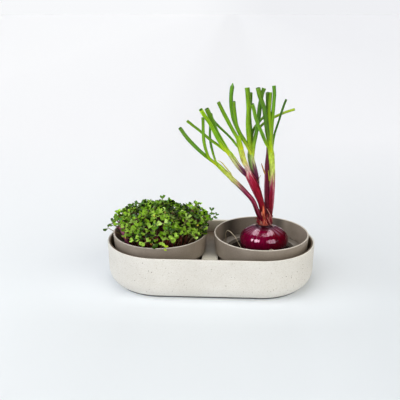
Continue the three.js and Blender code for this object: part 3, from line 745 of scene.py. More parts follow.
# ---------------------------------------------------------------- onion stems, sheaths and leaves
WINE, MAGENTA, CRIMSON = srgb(92, 4, 30), srgb(138, 8, 56), srgb(168, 8, 40)
PURPLE, DUSK, ROSE = srgb(104, 40, 74), srgb(82, 20, 48), srgb(206, 160, 168)
LIME, YELLOW = srgb(168, 200, 58), srgb(194, 210, 78)
FRESH = srgb(150, 198, 46)

STEMS = {
    "stem_left": dict(
        points=[(70.8, 0.5, 80.5), (68.2, -5.5, 89.5), (63.6, -9.2, 98.4), (56.1, -9.4, 116.5), (45.7, -10.1, 129.3),
                (36.3, -10.8, 139.3), (28.5, -11.4, 146.6), (24.3, -12.1, 151.5), (15.6, -12.8, 160.0), (8.0, -13.5, 167.8), (5.6, -13.9, 170.2)],
        diameter=6.2, stops=[(0, WINE), (0.3, WINE), (0.45, MAGENTA), (0.56, PURPLE), (0.63, srgb(170, 130, 120)), (0.69, srgb(196, 204, 120)),
                             (0.82, YELLOW), (0.92, LIME), (1, FRESH)]),
    "stem_middle": dict(
        points=[(71.6, -0.5, 80.5), (70.9, -1.8, 90), (70.2, -2.3, 98.7), (68.1, -2.7, 107.8), (65.6, -3.3, 116.4), (63.7, -3.5, 121.4), (60.4, -4, 129.8), (57, -4.4, 137.3), (55.2, -4.6, 141.4), (52.6, -4.8, 146.2), (50, -5.1, 151), (48.1, -5.3, 156.5), (47.3, -5.4, 160.5)],
        diameter=10, stops=[(0, WINE), (0.25, srgb(128, 24, 34)), (0.45, srgb(142, 6, 34)), (0.74, srgb(148, 12, 44)), (0.88, srgb(178, 54, 82)), (0.95, srgb(222, 176, 180)), (1, srgb(226, 206, 190))]),
    "stem_right": dict(
        points=[(76.2, 4.6, 80.5), (77.6, 6.4, 90), (78.6, 7.4, 98.5), (79.2, 7.4, 106.3), (79.5, 7.4, 119), (79.7, 7.4, 131.2), (79.5, 7.4, 147.5), (79, 7.3, 158), (78.3, 7.3, 168), (77.3, 7.3, 180), (77.1, 7.2, 184.5)],
        diameter=10.6, stops=[(0, WINE), (0.2, srgb(118, 4, 24)), (0.42, srgb(138, 6, 44)), (0.52, srgb(150, 50, 84)), (0.60, srgb(190, 160, 130)),
                              (0.68, srgb(196, 212, 112)), (0.85, srgb(190, 216, 80)), (1, srgb(170, 206, 50))]),
    "sheath_middle_a": dict(
        points=[(51.4, -4.2, 144.4), (46.9, -5.2, 150.6), (40.7, -7.0, 157.6), (35.0, -9.4, 164.9), (30.5, -10.8, 171.9), (26.2, -12.2, 178.5), (22.6, -12.8, 183.4), (21.4, -12.9, 185.3)],
        diameter=6.7, stops=[(0, DUSK), (0.3, PURPLE), (0.5, srgb(140, 90, 116)), (0.64, srgb(200, 208, 140)), (0.82, LIME), (1, FRESH)]),
    "sheath_middle_b": dict(
        points=[(49.8, -6.2, 152), (47.7, -7.2, 160.3), (44.4, -6.4, 166.8), (42.0, -6, 172), (40.1, -6.2, 179.3), (38.0, -6.8, 186.6), (36.3, -7.7, 194), (35.2, -8.4, 200), (34.4, -8.6, 203.3)],
        diameter=7, stops=[(0, ROSE), (0.2, srgb(214, 186, 168)), (0.34, srgb(216, 220, 110)), (0.62, YELLOW), (0.8, LIME), (1, FRESH)]),
    "sheath_middle_c": dict(
        points=[(62.6, 5.2, 128.9), (60.4, 4.3, 138.9), (58.1, 3.3, 148.1), (56.2, 2.7, 155.7), (54.3, 2.5, 162.5), (52.7, 2.7, 169.2), (51.6, 3, 175.8), (51.1, 3, 181.1)],
        diameter=9, stops=[(0, DUSK), (0.4, srgb(92, 28, 60)), (0.62, srgb(110, 62, 88)), (0.74, srgb(190, 196, 140)), (0.9, srgb(176, 208, 100)), (1, FRESH)]),
}
STEM_RINGS, STEM_SIDES = 72, 36


def stem(name, points, diameter, stops):
    sheathed = name.startswith("sheath")
    seed = sum(map(ord, name))

    def radius(t):
        grown = 0.6 + 0.4 * smoothstep(t, 0.0, 0.3) if sheathed else 1.0 - 0.14 * smoothstep(t, 0.12, 0.0)
        if name == "stem_middle":
            grown = 0.83 + 0.35 * smoothstep(t, 0.35, 0.72) - 0.22 * smoothstep(t, 0.78, 1.0)
        return diameter / 2 * grown * (1.0 - 0.22 * smoothstep(t, 0.9, 1.0)) * (1 + 0.03 * math.sin(seed + 9 * t))

    def shape(T, A):
        groove = 0.10 * np.exp(-(((A - 2.4 + 0.5 * T) / 0.22) ** 2)) + 0.07 * np.exp(-(((A - 5.2 - 0.3 * T) / 0.2) ** 2))
        ribs = 0.018 * np.cos(17 * A + 3 * T) + 0.012 * np.cos(31 * A + seed)
        return 1 - groove + ribs

    verts, faces, uv, t, a, _, length = tube(points, radius, STEM_SIDES, STEM_RINGS, shape)
    streak = 0.05 * np.sin(7 * a + seed) + 0.04 * np.sin(13 * a + 2 * seed)
    tint = blend_stops(np.clip(t + streak * smoothstep(t, 0.1, 0.5), 0, 1), stops)
    # Angle 0 faces the front and pi/2 faces +X.
    if name == "stem_right":
        # Painted shade where the outer sheath lies over it and in the slit above; pink streaks below the green.
        fold = smoothstep(np.cos(a - 5.0), 0.45, 0.8) * smoothstep(t, 0.2, 0.35) * (1 - smoothstep(t, 0.7, 0.86))
        tint = tint + (srgb(56, 8, 20) - tint) * fold[:, None] * 0.9
        pink = smoothstep(np.sin(9 * a + 2.0), 0.2, 0.9) * smoothstep(np.cos(a - 1.05), 0.55, 0.9) * smoothstep(t, 0.25, 0.42) * (1 - smoothstep(t, 0.6, 0.7))
        tint = tint + (srgb(206, 140, 156) - tint) * pink[:, None] * 0.6
        # A rosy painted highlight down its right side.
        rosy_painted_highlight = smoothstep(np.cos(a - 1.25), 0.7, 1.0) * smoothstep(t, 0.12, 0.3) * (1 - smoothstep(t, 0.5, 0.62))
        tint = tint + (srgb(190, 96, 120) - tint) * rosy_painted_highlight[:, None] * 0.75
    if name == "sheath_middle_a":
        pale = smoothstep(np.cos(a - 5.2), 0.1, 0.8) * smoothstep(t, 0.25, 0.5)
        tint = tint + (srgb(206, 206, 150) - tint) * pale[:, None] * 0.75
        line = np.exp(-(((a - 0.35) / 0.16) ** 2)) * smoothstep(t, 0.15, 0.3) * (1 - smoothstep(t, 0.75, 0.9))
        tint = tint * (1 - 0.55 * line[:, None])
    if name == "sheath_middle_c":
        green = smoothstep(np.cos(a - 5.2), 0.2, 0.7) * smoothstep(t, 0.42, 0.66)
        tint = tint + (srgb(126, 160, 84) - tint) * green[:, None] * 0.85
        deep = np.exp(-(((a - 4.75) / 0.3) ** 2)) * smoothstep(t, 0.55, 0.75)
        tint = tint + (srgb(76, 112, 34) - tint) * deep[:, None] * 0.8
    if name == "sheath_middle_b":
        rust = np.exp(-(((a - 1.0) / 0.3) ** 2)) * smoothstep(np.sin(26 * t), -0.2, 0.6) * smoothstep(t, 0.25, 0.4) * (1 - smoothstep(t, 0.72, 0.85))
        tint = tint + (srgb(190, 142, 60) - tint) * rust[:, None] * 0.6
    if name == "stem_middle":
        # A painted highlight down its left side and painted shade on its right.
        painted_highlight = np.exp(-(((a - 5.3) / 0.36) ** 2))
        tint = tint + (srgb(206, 84, 108) - tint) * painted_highlight[:, None] * 0.65 * smoothstep(t, 0.3, 0.5)[:, None] * (1 - smoothstep(t, 0.86, 0.97))[:, None]
        dark = np.exp(-(((a - 1.4) / 0.5) ** 2))
        tint = tint * (1 - 0.6 * dark[:, None])
    if name == "stem_left":
        # Painted shade down its left side, and a painted highlight down its front.
        dark = np.exp(-(((a - 5.0) / 0.5) ** 2)) * (1 - smoothstep(t, 0.6, 0.7))
        tint = tint * (1 - 0.5 * dark[:, None])
        painted_highlight = np.exp(-(((a - 0.5) / 0.3) ** 2)) * smoothstep(t, 0.15, 0.3) * (1 - smoothstep(t, 0.58, 0.7))
        tint = tint + (srgb(186, 90, 116) - tint) * painted_highlight[:, None] * 0.5
    return piece(f"{name}_skin", verts, faces, [STEM], "right_insert", [name],
                 tint=tint, uv=uv, sharp=50)


for name, spec in STEMS.items():
    stem(name, **spec)

G_DARK, G_MID, G_BLUE, G_BRIGHT = srgb(58, 112, 34), srgb(82, 140, 38), srgb(66, 132, 80), srgb(118, 176, 36)
G_DEEP = srgb(44, 92, 52)
LEAVES = {
    "leaf_left_1": ([(8.8, -13.4, 165.6), (5.7, -13.6, 168.4), (-2.9, -16.3, 176.1), (-9.9, -21.4, 183.2), (-19.4, -25.3, 193.3), (-29, -29.6, 205), (-37, -34, 217.7)],
                    4, 5, [FRESH, srgb(96, 160, 44), G_BLUE, srgb(68, 128, 72), srgb(60, 116, 50)]),
    "leaf_left_2": ([(8.3, -13.8, 166.2), (3.4, -16.2, 170.8), (-1.6, -19.4, 176.9), (-4.4, -23.5, 184.4), (-6.6, -25.7, 192.4), (-8.2, -27.8, 201.9), (-8.7, -29.7, 211.3), (-8.8, -32.1, 222.5), (-9, -34, 231.2)],
                    3.4, 4, [LIME, srgb(110, 172, 44), G_MID, srgb(76, 142, 42), G_DARK]),
    "leaf_left_3": ([(8.5, -12.8, 165.7), (7.4, -12.1, 169), (5.2, -11, 173.9), (2.8, -10, 181.2), (0.9, -10.1, 188.8), (-0.5, -10.6, 196.3), (-1.2, -11.1, 205.6), (-0.9, -11.7, 215), (-1.2, -12, 219.8)],
                    2.8, 3.4, [LIME, srgb(96, 158, 50), srgb(64, 132, 52), srgb(56, 122, 48), G_DARK]),
    "leaf_middle_1": ([(22.9, -12.5, 181.1), (20.3, -13.1, 183.5), (16.4, -14, 186.6), (7.9, -16.2, 193.9), (-1.1, -17.8, 200.8), (-8.3, -18.9, 207.2), (-15.4, -20, 213.3), (-22.4, -20.9, 218.9), (-29.3, -22, 224.7)],
                      3.6, 3.9, [LIME, srgb(104, 166, 54), srgb(86, 152, 56), srgb(80, 144, 56), srgb(80, 136, 52)]),
    "leaf_middle_2": ([(23.9, -13.4, 179.9), (21.2, -14.4, 183.8), (16.2, -16.3, 190.1), (10.4, -20.7, 200.5), (5.5, -22.9, 209.9), (1.4, -24.7, 218.4), (-2.8, -26.5, 225.8), (-7.7, -28.3, 233), (-11.7, -30, 240.1)],
                      5, 5.4, [LIME, FRESH, srgb(100, 164, 36), G_BRIGHT, srgb(130, 186, 40)]),
    "leaf_middle_3": ([(24.8, -11.8, 179.8), (23.1, -11.6, 182.8), (17.7, -10.9, 190.6), (12.2, -10.4, 199.5), (7.7, -12.5, 208.3), (4.3, -14.5, 217), (0.8, -16.7, 226.3), (-2.3, -18.5, 233.3), (-5, -20, 239.4)],
                      5.4, 6.3, [LIME, srgb(90, 154, 40), srgb(66, 132, 32), srgb(64, 126, 34), srgb(72, 130, 36)]),
    "leaf_middle_4": ([(38.7, -7.8, 182.3), (37.1, -7.5, 186.4), (31.9, -6.5, 191.9), (27.6, -3.9, 197), (21.6, -2, 203), (14.7, -1.4, 209.3), (7.3, -0.1, 216.2), (2.1, 1, 222.5), (-0.2, 2, 229.9)],
                      3, 3.3, [LIME, srgb(88, 152, 48), srgb(64, 132, 44), srgb(60, 124, 42), G_DARK]),
    "leaf_middle_5": ([(39.8, -8.5, 186.4), (36.8, -8.9, 195.6), (32.6, -9.7, 202.9), (28, -11.1, 210.8), (23.7, -11.3, 218.5), (19.6, -11.5, 226.1), (15.6, -11.7, 233.6), (11.9, -11.9, 240.9), (9.2, -12, 246.6)],
                      5.4, 5, [LIME, srgb(104, 164, 44), srgb(78, 140, 40), srgb(76, 138, 40), srgb(70, 124, 36)]),
    "leaf_middle_6": ([(53.1, 2.4, 169.3), (51.4, 0.6, 178.4), (48.8, -1.5, 185.5), (44.0, -3.7, 193.8), (38.7, -3.9, 201.7), (35, -4.1, 209.4), (32.2, -4.3, 217.2), (30.9, -4.5, 224.9), (29.9, -4.6, 231.9), (29, -4.8, 238.9), (28.4, -5, 246.2)],
                      4.4, 4.6, [srgb(184, 200, 130), srgb(130, 176, 76), srgb(84, 146, 38), srgb(74, 136, 38), srgb(70, 126, 40)]),
    "leaf_middle_7": ([(52.8, 3.6, 169.6), (51.2, 4, 178.2), (48.0, 4.2, 185.8), (43.1, 4.4, 194.6), (37.3, 4.6, 203.1), (33.2, 4.8, 211.5), (29.9, 5, 219.2), (27.7, 5.1, 225.6), (26.2, 5.3, 233.3), (25.2, 5.5, 240.9), (24.9, 5.6, 248.5), (25.2, 5.8, 256.1), (26.6, 6, 267.4)],
                      4.3, 5.3, [srgb(176, 196, 116), srgb(104, 160, 60), srgb(78, 142, 40), srgb(64, 130, 48), srgb(62, 126, 56)]),
    "leaf_middle_8": ([(52.3, 1.8, 171.4), (50.7, 1.1, 183.4), (49.7, 0.6, 191.1), (48.5, -0.2, 200.7), (47.5, -0.8, 210.1), (47, -1.4, 219.4), (47, -1.9, 228.6), (47, -2.4, 237.9), (46.4, -3, 246.9), (45.7, -3.5, 255.8), (44.6, -4, 263.7)],
                      5.2, 5.9, [srgb(170, 196, 110), srgb(112, 166, 50), srgb(88, 150, 36), srgb(88, 148, 40), srgb(70, 128, 40)]),
    "leaf_middle_9": ([(53.0, 3.0, 172.8), (53, 3.05, 174.7), (51.5, 7.2, 199.6), (49.8, 7.9, 214.7), (48.5, 8.6, 231.8), (49.3, 9.3, 244.5), (49.5, 10.0, 255.5)],
                      4.6, 5.2, [srgb(160, 190, 100), srgb(90, 150, 50), srgb(64, 126, 36), srgb(60, 122, 40), G_DARK]),
    "leaf_middle_10": ([(53.9, 2.4, 171.3), (54.6, 2, 183.3), (55.3, 2.3, 190.8), (57, 2.6, 200.2), (58.5, 2.5, 209.5), (59.6, 2.4, 218.8), (60.6, 2.3, 228), (61.2, 2.2, 237.2), (62.3, 2.1, 246.2), (63.7, 2.1, 255.1), (66.1, 2, 262.3)],
                       4.6, 5.4, [srgb(160, 190, 110), srgb(96, 154, 70), srgb(62, 126, 78), srgb(58, 118, 74), srgb(58, 112, 56)]),
    "leaf_middle_11": ([(54.2, 3.7, 173.0), (54.8, 4.1, 175), (56.9, 10.8, 194.4), (60.3, 12.5, 207.1), (67.4, 14.0, 215.0), (81.1, 15.2, 223.4), (93.8, 15.6, 229.4), (106.9, 16.0, 233.8)],
                       3, 3.5, [LIME, srgb(84, 144, 44), srgb(70, 130, 40), srgb(104, 160, 40), srgb(112, 164, 44)]),
    "leaf_middle_12": ([(53.2, 4.3, 172.8), (53, 5.2, 174.6), (53.0, 13.6, 198.2), (55.3, 15.7, 208.3), (60.3, 17.8, 214.5), (66.4, 19.8, 221.3), (71.7, 21.9, 226.5), (76.1, 24.0, 229.4)],
                       3, 3.5, [LIME, srgb(80, 140, 44), srgb(60, 120, 36), srgb(70, 132, 38), G_MID]),
    "leaf_right_1": ([(76.4, 8.2, 178.0), (75.4, 8.8, 180.6), (75.3, 1.8, 201.1), (73.4, 2.2, 216.1), (72.0, 2.6, 233.1), (70.6, 3.0, 256.7)],
                     4.4, 5, [LIME, srgb(80, 136, 34), srgb(56, 104, 30), srgb(50, 94, 30), srgb(56, 104, 32)]),
    "leaf_right_2": ([(78, 6, 175.4), (77.5, 3.5, 184.7), (77, 1.3, 191.2), (76.2, -1.7, 201.3), (74.8, -3.1, 210.8), (73.7, -3.3, 220.1), (72.9, -2.5, 229), (73.1, -1, 238), (73.8, 1.1, 248.2), (74.1, 2.4, 257.2)],
                     4.6, 4.8, [LIME, srgb(140, 184, 36), srgb(116, 164, 28), srgb(104, 150, 28), srgb(92, 142, 30)]),
    "leaf_right_3": ([(79.2, 6.4, 175.3), (78.7, 6, 184.7), (77.7, 3.8, 195.8), (77.3, 1, 206.9), (77.3, -1, 216.7), (77.7, 0, 227.7), (78.5, 1.1, 237.7), (78.9, 2, 246.4), (79.2, 2.9, 255.1), (78.3, 4, 264.9)],
                     4.2, 4.7, [LIME, srgb(120, 170, 40), srgb(92, 152, 44), srgb(70, 136, 66), srgb(60, 122, 56)]),
    "leaf_right_4": ([(77.6, 5.6, 175.5), (76.9, 4.3, 183.1), (74.9, 2, 193.6), (72.6, -2, 203.2), (70.8, -4.1, 213.1), (69.4, -4.8, 222.1), (67.8, -5.5, 231.1), (66, -6.2, 240), (62.7, -6.8, 248.5), (60.2, -7.3, 254.7), (58, -8, 263.8)],
                     4.6, 5.8, [LIME, srgb(86, 142, 44), srgb(54, 104, 56), srgb(54, 108, 60), srgb(72, 128, 40)]),
    "leaf_right_5": ([(77.1, 6.3, 175.3), (75.6, 3.7, 184.6), (71.9, 2, 190.1), (68.1, -3.7, 198.9), (65.0, -8.2, 206.3), (61.9, -8.9, 213), (58.6, -9.6, 220.3), (55.7, -10.4, 228.5), (53.8, -11.2, 236.7), (51.2, -12, 244.6)],
                     4.2, 4.7, [LIME, srgb(110, 168, 50), srgb(72, 138, 60), srgb(70, 134, 62), srgb(76, 140, 46)]),
    "leaf_right_6": ([(79.4, 8.2, 174.8), (79.8, 8.5, 182.8), (80.2, 8.7, 188.6), (80.9, 9.8, 196), (82.5, 11.1, 204.3), (84.8, 9.9, 213), (87.1, 8.4, 221.6), (89.3, 6.9, 231.2), (91.6, 5.5, 239.6), (94.4, 4, 248.2)],
                     2.6, 3.1, [LIME, srgb(84, 146, 56), srgb(48, 108, 60), srgb(44, 100, 60), srgb(44, 92, 54)]),
}


def leaf(name, points, base, widest, colours):
    seed = sum(map(ord, name)) % 97
    pointed = name == "leaf_middle_7"

    def radius(t):
        k = smoothstep(t, 0.0, 0.35)
        r = (base + (widest - base) * k) / 2
        if pointed:
            r *= 1 - 0.72 * smoothstep(t, 0.955, 1.0)
        return r * (1 + 0.04 * math.sin(11 * t + seed))

    def shape(T, A):
        flat = 1 - 0.10 * np.sin(A + 0.3 * seed) ** 2
        keel = -0.10 * np.exp(-(((np.mod(A - 0.35 * seed, 2 * math.pi) - math.pi) / 0.3) ** 2)) * smoothstep(T, 0.95, 0.3)
        return flat + keel + 0.012 * np.cos(15 * A)

    length = curve_points(points, 30)[1]
    rings = max(28, int(length / 1.6))
    verts, faces, uv, t, a, inside, length = tube(points, radius, 24, rings, shape, wall=0.55, depth=12.0,
                                                  slant=0.25 * math.sin(seed * 1.7) + (0.9 if pointed else 0.0))
    stops = list(zip((0.0, 0.16, 0.42, 0.74, 1.0), colours))
    tint = blend_stops(t, stops)
    # One side painted lighter and the other darker, painted light and shade, with some banding round it.
    light = 1 + 0.16 * np.cos(a - 5.4) + 0.12 * np.sin(3 * a + seed) + 0.07 * np.sin(8 * a + 2 * seed)
    tint = tint * light[:, None]
    # The cut end is paler, its hollow yellow-green and shaded.
    lip = smoothstep(t, 0.985, 1.0) * (1 - inside)
    tint = tint + (tint * 1.25 + 0.02 - tint) * lip[:, None]
    tint = np.where(inside[:, None] > 0.5, srgb(96, 138, 52) * 0.8, tint)
    return piece(f"{name}_hollow", verts, faces, [LEAF], "right_insert", [name], tint=tint, uv=uv, sharp=50)


for name, (points, base, widest, colours) in LEAVES.items():
    leaf(name, points, base, widest, [np.minimum(np.asarray(c) * ((1.42, 1.14, 0.3) if name in ("leaf_middle_2", "leaf_right_2") else (2.05, 1.26, 0.28)), 0.62) for c in colours])


# ---------------------------------------------------------------- neck and its papery skins
def strip(rows, cols, place, thick):
    """A thin closed sheet over a grid: place(s, w) gives a point and its outward normal."""
    top, bot = [], []
    for i in range(rows):
        for j in range(cols):
            p, n = place(i / (rows - 1), j / (cols - 1))
            top.append(p + n * thick / 2)
            bot.append(p - n * thick / 2)
    verts = np.array(top + bot)
    k = rows * cols
    faces = []
    for i in range(rows - 1):
        for j in range(cols - 1):
            a, b, c, d = i * cols + j, i * cols + j + 1, (i + 1) * cols + j + 1, (i + 1) * cols + j
            faces += [(a, b, c, d), (k + d, k + c, k + b, k + a)]
    edge = [j for j in range(cols)] + [i * cols + cols - 1 for i in range(1, rows)]
    edge += [(rows - 1) * cols + j for j in range(cols - 2, -1, -1)] + [i * cols for i in range(rows - 2, 0, -1)]
    for a, b in zip(edge, edge[1:] + edge[:1]):
        faces.append((b, a, k + a, k + b))
    return verts, faces


NECK_X, NECK_Y = 72.6, 2.5


def neck():
    rows = [(0, 79.2), (7, 79.2), (10.9, 79.6), (10.9, 81.0), (10.4, 83), (10.0, 86), (9.7, 90), (9.3, 94), (8.8, 98), (7.4, 101.5), (4.2, 103.6), (0, 104.0)]
    prof = fine_rows(rows, 44)
    prof[:, 0] = np.maximum(prof[:, 0], 0)
    n = 96
    ang = np.linspace(0, 2 * math.pi, n, endpoint=False)
    R, A = np.meshgrid(np.arange(len(prof)), ang, indexing="ij")
    r, z = prof[R, 0], prof[R, 1]
    fold = 0.7 * np.cos(5 * A + 0.8) + 0.45 * np.cos(11 * A + 2.0) + 0.25 * np.cos(23 * A)
    r = r + fold * smoothstep(z, 79.5, 84) * np.minimum(r / 8, 1) - 0.5
    r = np.maximum(r, 0)
    verts = np.stack([NECK_X + r * np.cos(A), NECK_Y + r * np.sin(A), z], -1).reshape(-1, 3)
    m = len(prof)
    faces = [(i * n + k, i * n + (k + 1) % n, (i + 1) * n + (k + 1) % n, (i + 1) * n + k) for i in range(m - 1) for k in range(n)]
    dark, red = srgb(86, 60, 60), srgb(104, 10, 26)
    w = smoothstep(z, 82.5, 86)[..., None]
    tint = dark * (1 - w) + red * w
    # A painted shadow in the gap between the middle and the right stem.
    gap_painted_shadow = np.exp(-(((A - 5.1) / 0.2) ** 2)) * smoothstep(z, 84, 88)
    tint = tint * (1 - 0.85 * gap_painted_shadow[..., None])
    uv = np.stack([A / (2 * math.pi) * 2, z / 20], -1).reshape(-1, 2)
    return piece("onion_neck_core", verts, faces, [PAPER], "right_insert", ["onion_neck"],
                 tint=tint.reshape(-1, 3), uv=uv, weld=0.0005, sharp=60)


neck()


def papery():
    """Dry torn skins round the neck, each one a thin curled sheet."""
    r = np.random.default_rng(5)
    verts, faces, tints, uvs = [], [], [], []
    count = 0
    spans = [(256, 12, 92.0, 110.0, 11.3, srgb(224, 120, 84)), (258, 32, 82.6, 95.5, 11.6, srgb(196, 74, 62)), (268, 14, 82.8, 90.0, 12.0, srgb(216, 106, 84)),
             (236, 20, 83.4, 98.0, 11.1, srgb(150, 26, 44)), (246, 9, 84.0, 101.0, 11.9, srgb(226, 150, 132)),
             (285, 15, 83.4, 97.0, 11.0, srgb(122, 16, 30)), (206, 26, 82.4, 93.0, 10.9, srgb(118, 26, 38)),
             (312, 22, 82.6, 98.0, 10.9, srgb(128, 16, 34)), (345, 30, 82.4, 92.5, 10.8, srgb(116, 30, 40)),
             (172, 30, 82.4, 91.0, 10.9, srgb(116, 46, 46)), (25, 40, 82.0, 92.0, 10.9, srgb(112, 40, 44)),
             (70, 40, 82.0, 94.0, 11.0, srgb(122, 34, 40)), (120, 40, 82.0, 91.0, 10.9, srgb(132, 60, 50))]
    for middle, half, z0, z1, rad, colour in spans:
        rows, cols = 14, 12
        tear = r.uniform(-2.2, 2.2, cols)
        flare = r.uniform(0.1, 1.0)
        wave = r.uniform(0, 6.28)

        def place(s, w, middle=middle, half=half, z0=z0, z1=z1, rad=rad, tear=tear, flare=flare, wave=wave):
            narrow = 1 - 0.7 * s**1.4
            a = math.radians(middle + half * (2 * w - 1) * narrow)
            j = min(len(tear) - 1, int(round(w * (len(tear) - 1))))
            z = z0 + (z1 - z0 + tear[j] * smoothstep(s, 0.5, 1.0)) * s
            rr = rad - 0.9 * smoothstep(s, 0.0, 0.5) + 0.35 * math.sin(9 * w + wave) * s + flare * smoothstep(s, 0.7, 1.0)
            n = np.array([math.cos(a), math.sin(a), 0.0])
            return np.array([NECK_X + rr * n[0], NECK_Y + rr * n[1], z]), n

        v, f = strip(rows, cols, place, 0.22)
        k = len(v)
        s = np.tile(np.repeat(np.linspace(0, 1, rows), cols), 2)
        w = np.tile(np.tile(np.linspace(0, 1, cols), rows), 2)
        c = colour * (0.55 + 0.75 * smoothstep(s, 0.05, 0.6))[:, None]
        pale = smoothstep(np.abs(w - 0.5), 0.36, 0.5)[:, None] * 0.45
        c = c + (srgb(214, 170, 150) - c) * pale * smoothstep(s, 0.2, 0.7)[:, None]
        verts.append(v)
        faces += [tuple(i + count for i in q) for q in f]
        tints.append(c)
        uvs.append(np.stack([w * 0.4 + middle / 360, s * (z1 - z0) / 20], 1))
        count += k
    return piece("onion_neck_papery", np.concatenate(verts), faces, [PAPER], "right_insert", ["onion_neck"],
                 tint=np.concatenate(tints), uv=np.concatenate(uvs), sharp=60)


papery()


def right_fold():
    """The outer sheath that wraps the right stem from the side of the middle stem and ends in a point."""
    points = [(75.6, 3.4, 88.0), (75.9, 2.6, 94.6), (75.0, 2.4, 104.6), (74.3, 2.6, 114.4), (73.7, 2.8, 128.4), (73.5, 2.8, 142.2), (73.3, 2.8, 155.9),
              (72.9, 3.0, 169.4), (72.6, 3.6, 177.4), (72.2, 4.2, 186.0)]

    def radius(t):
        return 3.05 * (0.75 + 0.25 * smoothstep(t, 0.0, 0.2)) * (1 - 0.8 * smoothstep(t, 0.72, 1.0))

    def shape(T, A):
        return 1 - 0.14 * np.exp(-(((A - 1.1) / 0.4) ** 2)) + 0.02 * np.cos(13 * A)

    verts, faces, uv, t, a, _, _ = tube(points, radius, 24, 72, shape, point=True)
    tint = blend_stops(t, [(0, srgb(84, 6, 22)), (0.3, srgb(100, 8, 36)), (0.55, srgb(92, 14, 44)), (0.72, srgb(92, 22, 46)), (0.88, srgb(104, 50, 72)), (1, srgb(120, 84, 84))])
    # A painted highlight down its left edge.
    painted_highlight = np.exp(-(((a - 5.3) / 0.35) ** 2))
    tint = tint + (srgb(206, 124, 146) - tint) * (0.75 * painted_highlight * smoothstep(t, 0.05, 0.2) * (1 - smoothstep(t, 0.62, 0.8)))[:, None]
    return piece("stem_right_fold", verts, faces, [STEM], "right_insert", [], tint=tint, uv=uv)


right_fold()


def dry_slivers():
    """Withered strips of leaf that lie along the stems, and loose fibres at the neck."""
    verts, faces, tints, uvs, count = [], [], [], [], 0
    lines = [([(27.0, -14.0, 153.6), (25.3, -15.0, 156.8), (19.9, -15.4, 163.4), (14.4, -15.4, 170.0), (9.1, -15.0, 172.7)], 1.2, srgb(206, 206, 110), srgb(226, 214, 146)),
             ([(72.4, 2.4, 147.0), (71.2, 1.8, 150.3), (69.2, 1.4, 155.4), (67.5, 1.6, 160.1), (65.9, 2.0, 164.8)], 1.35, srgb(206, 160, 70), srgb(170, 130, 90)),
             ([(59.6, -1.6, 134.0), (60.6, -1.0, 138.0), (62.6, -0.4, 143.6), (65.2, 0.0, 149.4)], 0.7, srgb(170, 120, 84), srgb(140, 120, 96)),
             ([(74.5, -7.0, 105.6), (77.6, -8.6, 100.7), (81.2, -7.6, 93.0), (82.7, -6.0, 87.0)], 0.42, srgb(206, 150, 140), srgb(190, 110, 104)),
             ([(75.0, -9.6, 94.4), (77.9, -9.4, 88.8), (80.1, -8.4, 82.6)], 0.36, srgb(214, 150, 140), srgb(180, 110, 104)),
             ([(79.8, -8.0, 95.5), (78.6, -9.2, 89.8), (81.3, -7.6, 83.4)], 0.32, srgb(200, 120, 114), srgb(170, 90, 90)),
             ([(67.0, -9.2, 93.6), (64.6, -8.8, 94.0), (60.7, -6.6, 91.6), (59.2, -5.6, 89.9)], 0.9, srgb(176, 52, 60), srgb(150, 40, 52)),
             ([(66.0, -9.0, 86.0), (63.0, -8.4, 88.4), (60.6, -6.6, 87.0)], 0.6, srgb(160, 40, 50), srgb(130, 30, 44)),
             ([(70.4, 1.0, 108.0), (71.6, -1.4, 104.0), (73.4, -4.4, 100.0), (74.0, -6.4, 96.0)], 0.8, srgb(60, 16, 22), srgb(40, 10, 14)),
             ([(70.2, -9.6, 99.6), (69.0, -10.0, 92.0), (69.6, -10.2, 85.0)], 0.5, srgb(150, 26, 40), srgb(120, 16, 30)),
             ([(72.8, -9.2, 97.0), (73.4, -9.9, 90.6), (72.6, -10.0, 83.6)], 0.45, srgb(128, 14, 30), srgb(104, 14, 26)),
             ([(66.0, -8.0, 97.0), (66.4, -9.6, 90.0), (65.4, -9.6, 83.4)], 0.4, srgb(214, 140, 120), srgb(170, 70, 64)),
             ([(71.2, -9.8, 90.4), (74.6, -10.2, 87.0), (77.4, -9.8, 83.0)], 0.35, srgb(226, 160, 140), srgb(190, 100, 90)),
             ([(63.4, -6.0, 84.0), (60.4, -5.2, 82.6), (57.2, -3.6, 81.0)], 0.45, srgb(150, 120, 112), srgb(190, 168, 158)),
             ([(79.6, -7.4, 84.6), (82.4, -6.6, 82.0), (85.0, -5.4, 79.4)], 0.4, srgb(190, 150, 140), srgb(206, 186, 176)),
             # A young leaf seen in the slit of the right stem.
             ([(76.9, 1.6, 141.6), (75.7, 1.2, 149.4), (74.4, 1.2, 156.2), (73.4, 1.5, 163.0), (72.9, 2.0, 167.6)], 1.15, srgb(206, 206, 70), srgb(170, 190, 60))]
    for points, half, low, high in lines:
        def radius(t):
            return half * (0.35 + 0.65 * math.sin(math.pi * min(1.0, 0.12 + 0.86 * t)) ** 0.7)

        def shape(T, A):
            return 1 - 0.62 * np.sin(A) ** 2 * (half > 0.5)

        v, f, uv, t, a, _, _ = tube(points, radius, 10, 30, shape, first=(0.5, -0.9, 0.2), point=True)
        verts.append(v)
        faces += [tuple(k + count for k in q) for q in f]
        tints.append(blend_stops(t, [(0, low), (1, high)]))
        uvs.append(uv)
        count += len(v)
    return piece("onion_dry_slivers", np.concatenate(verts), faces, [PAPER], "right_insert", [],
                 tint=np.concatenate(tints), uv=np.concatenate(uvs))


dry_slivers()


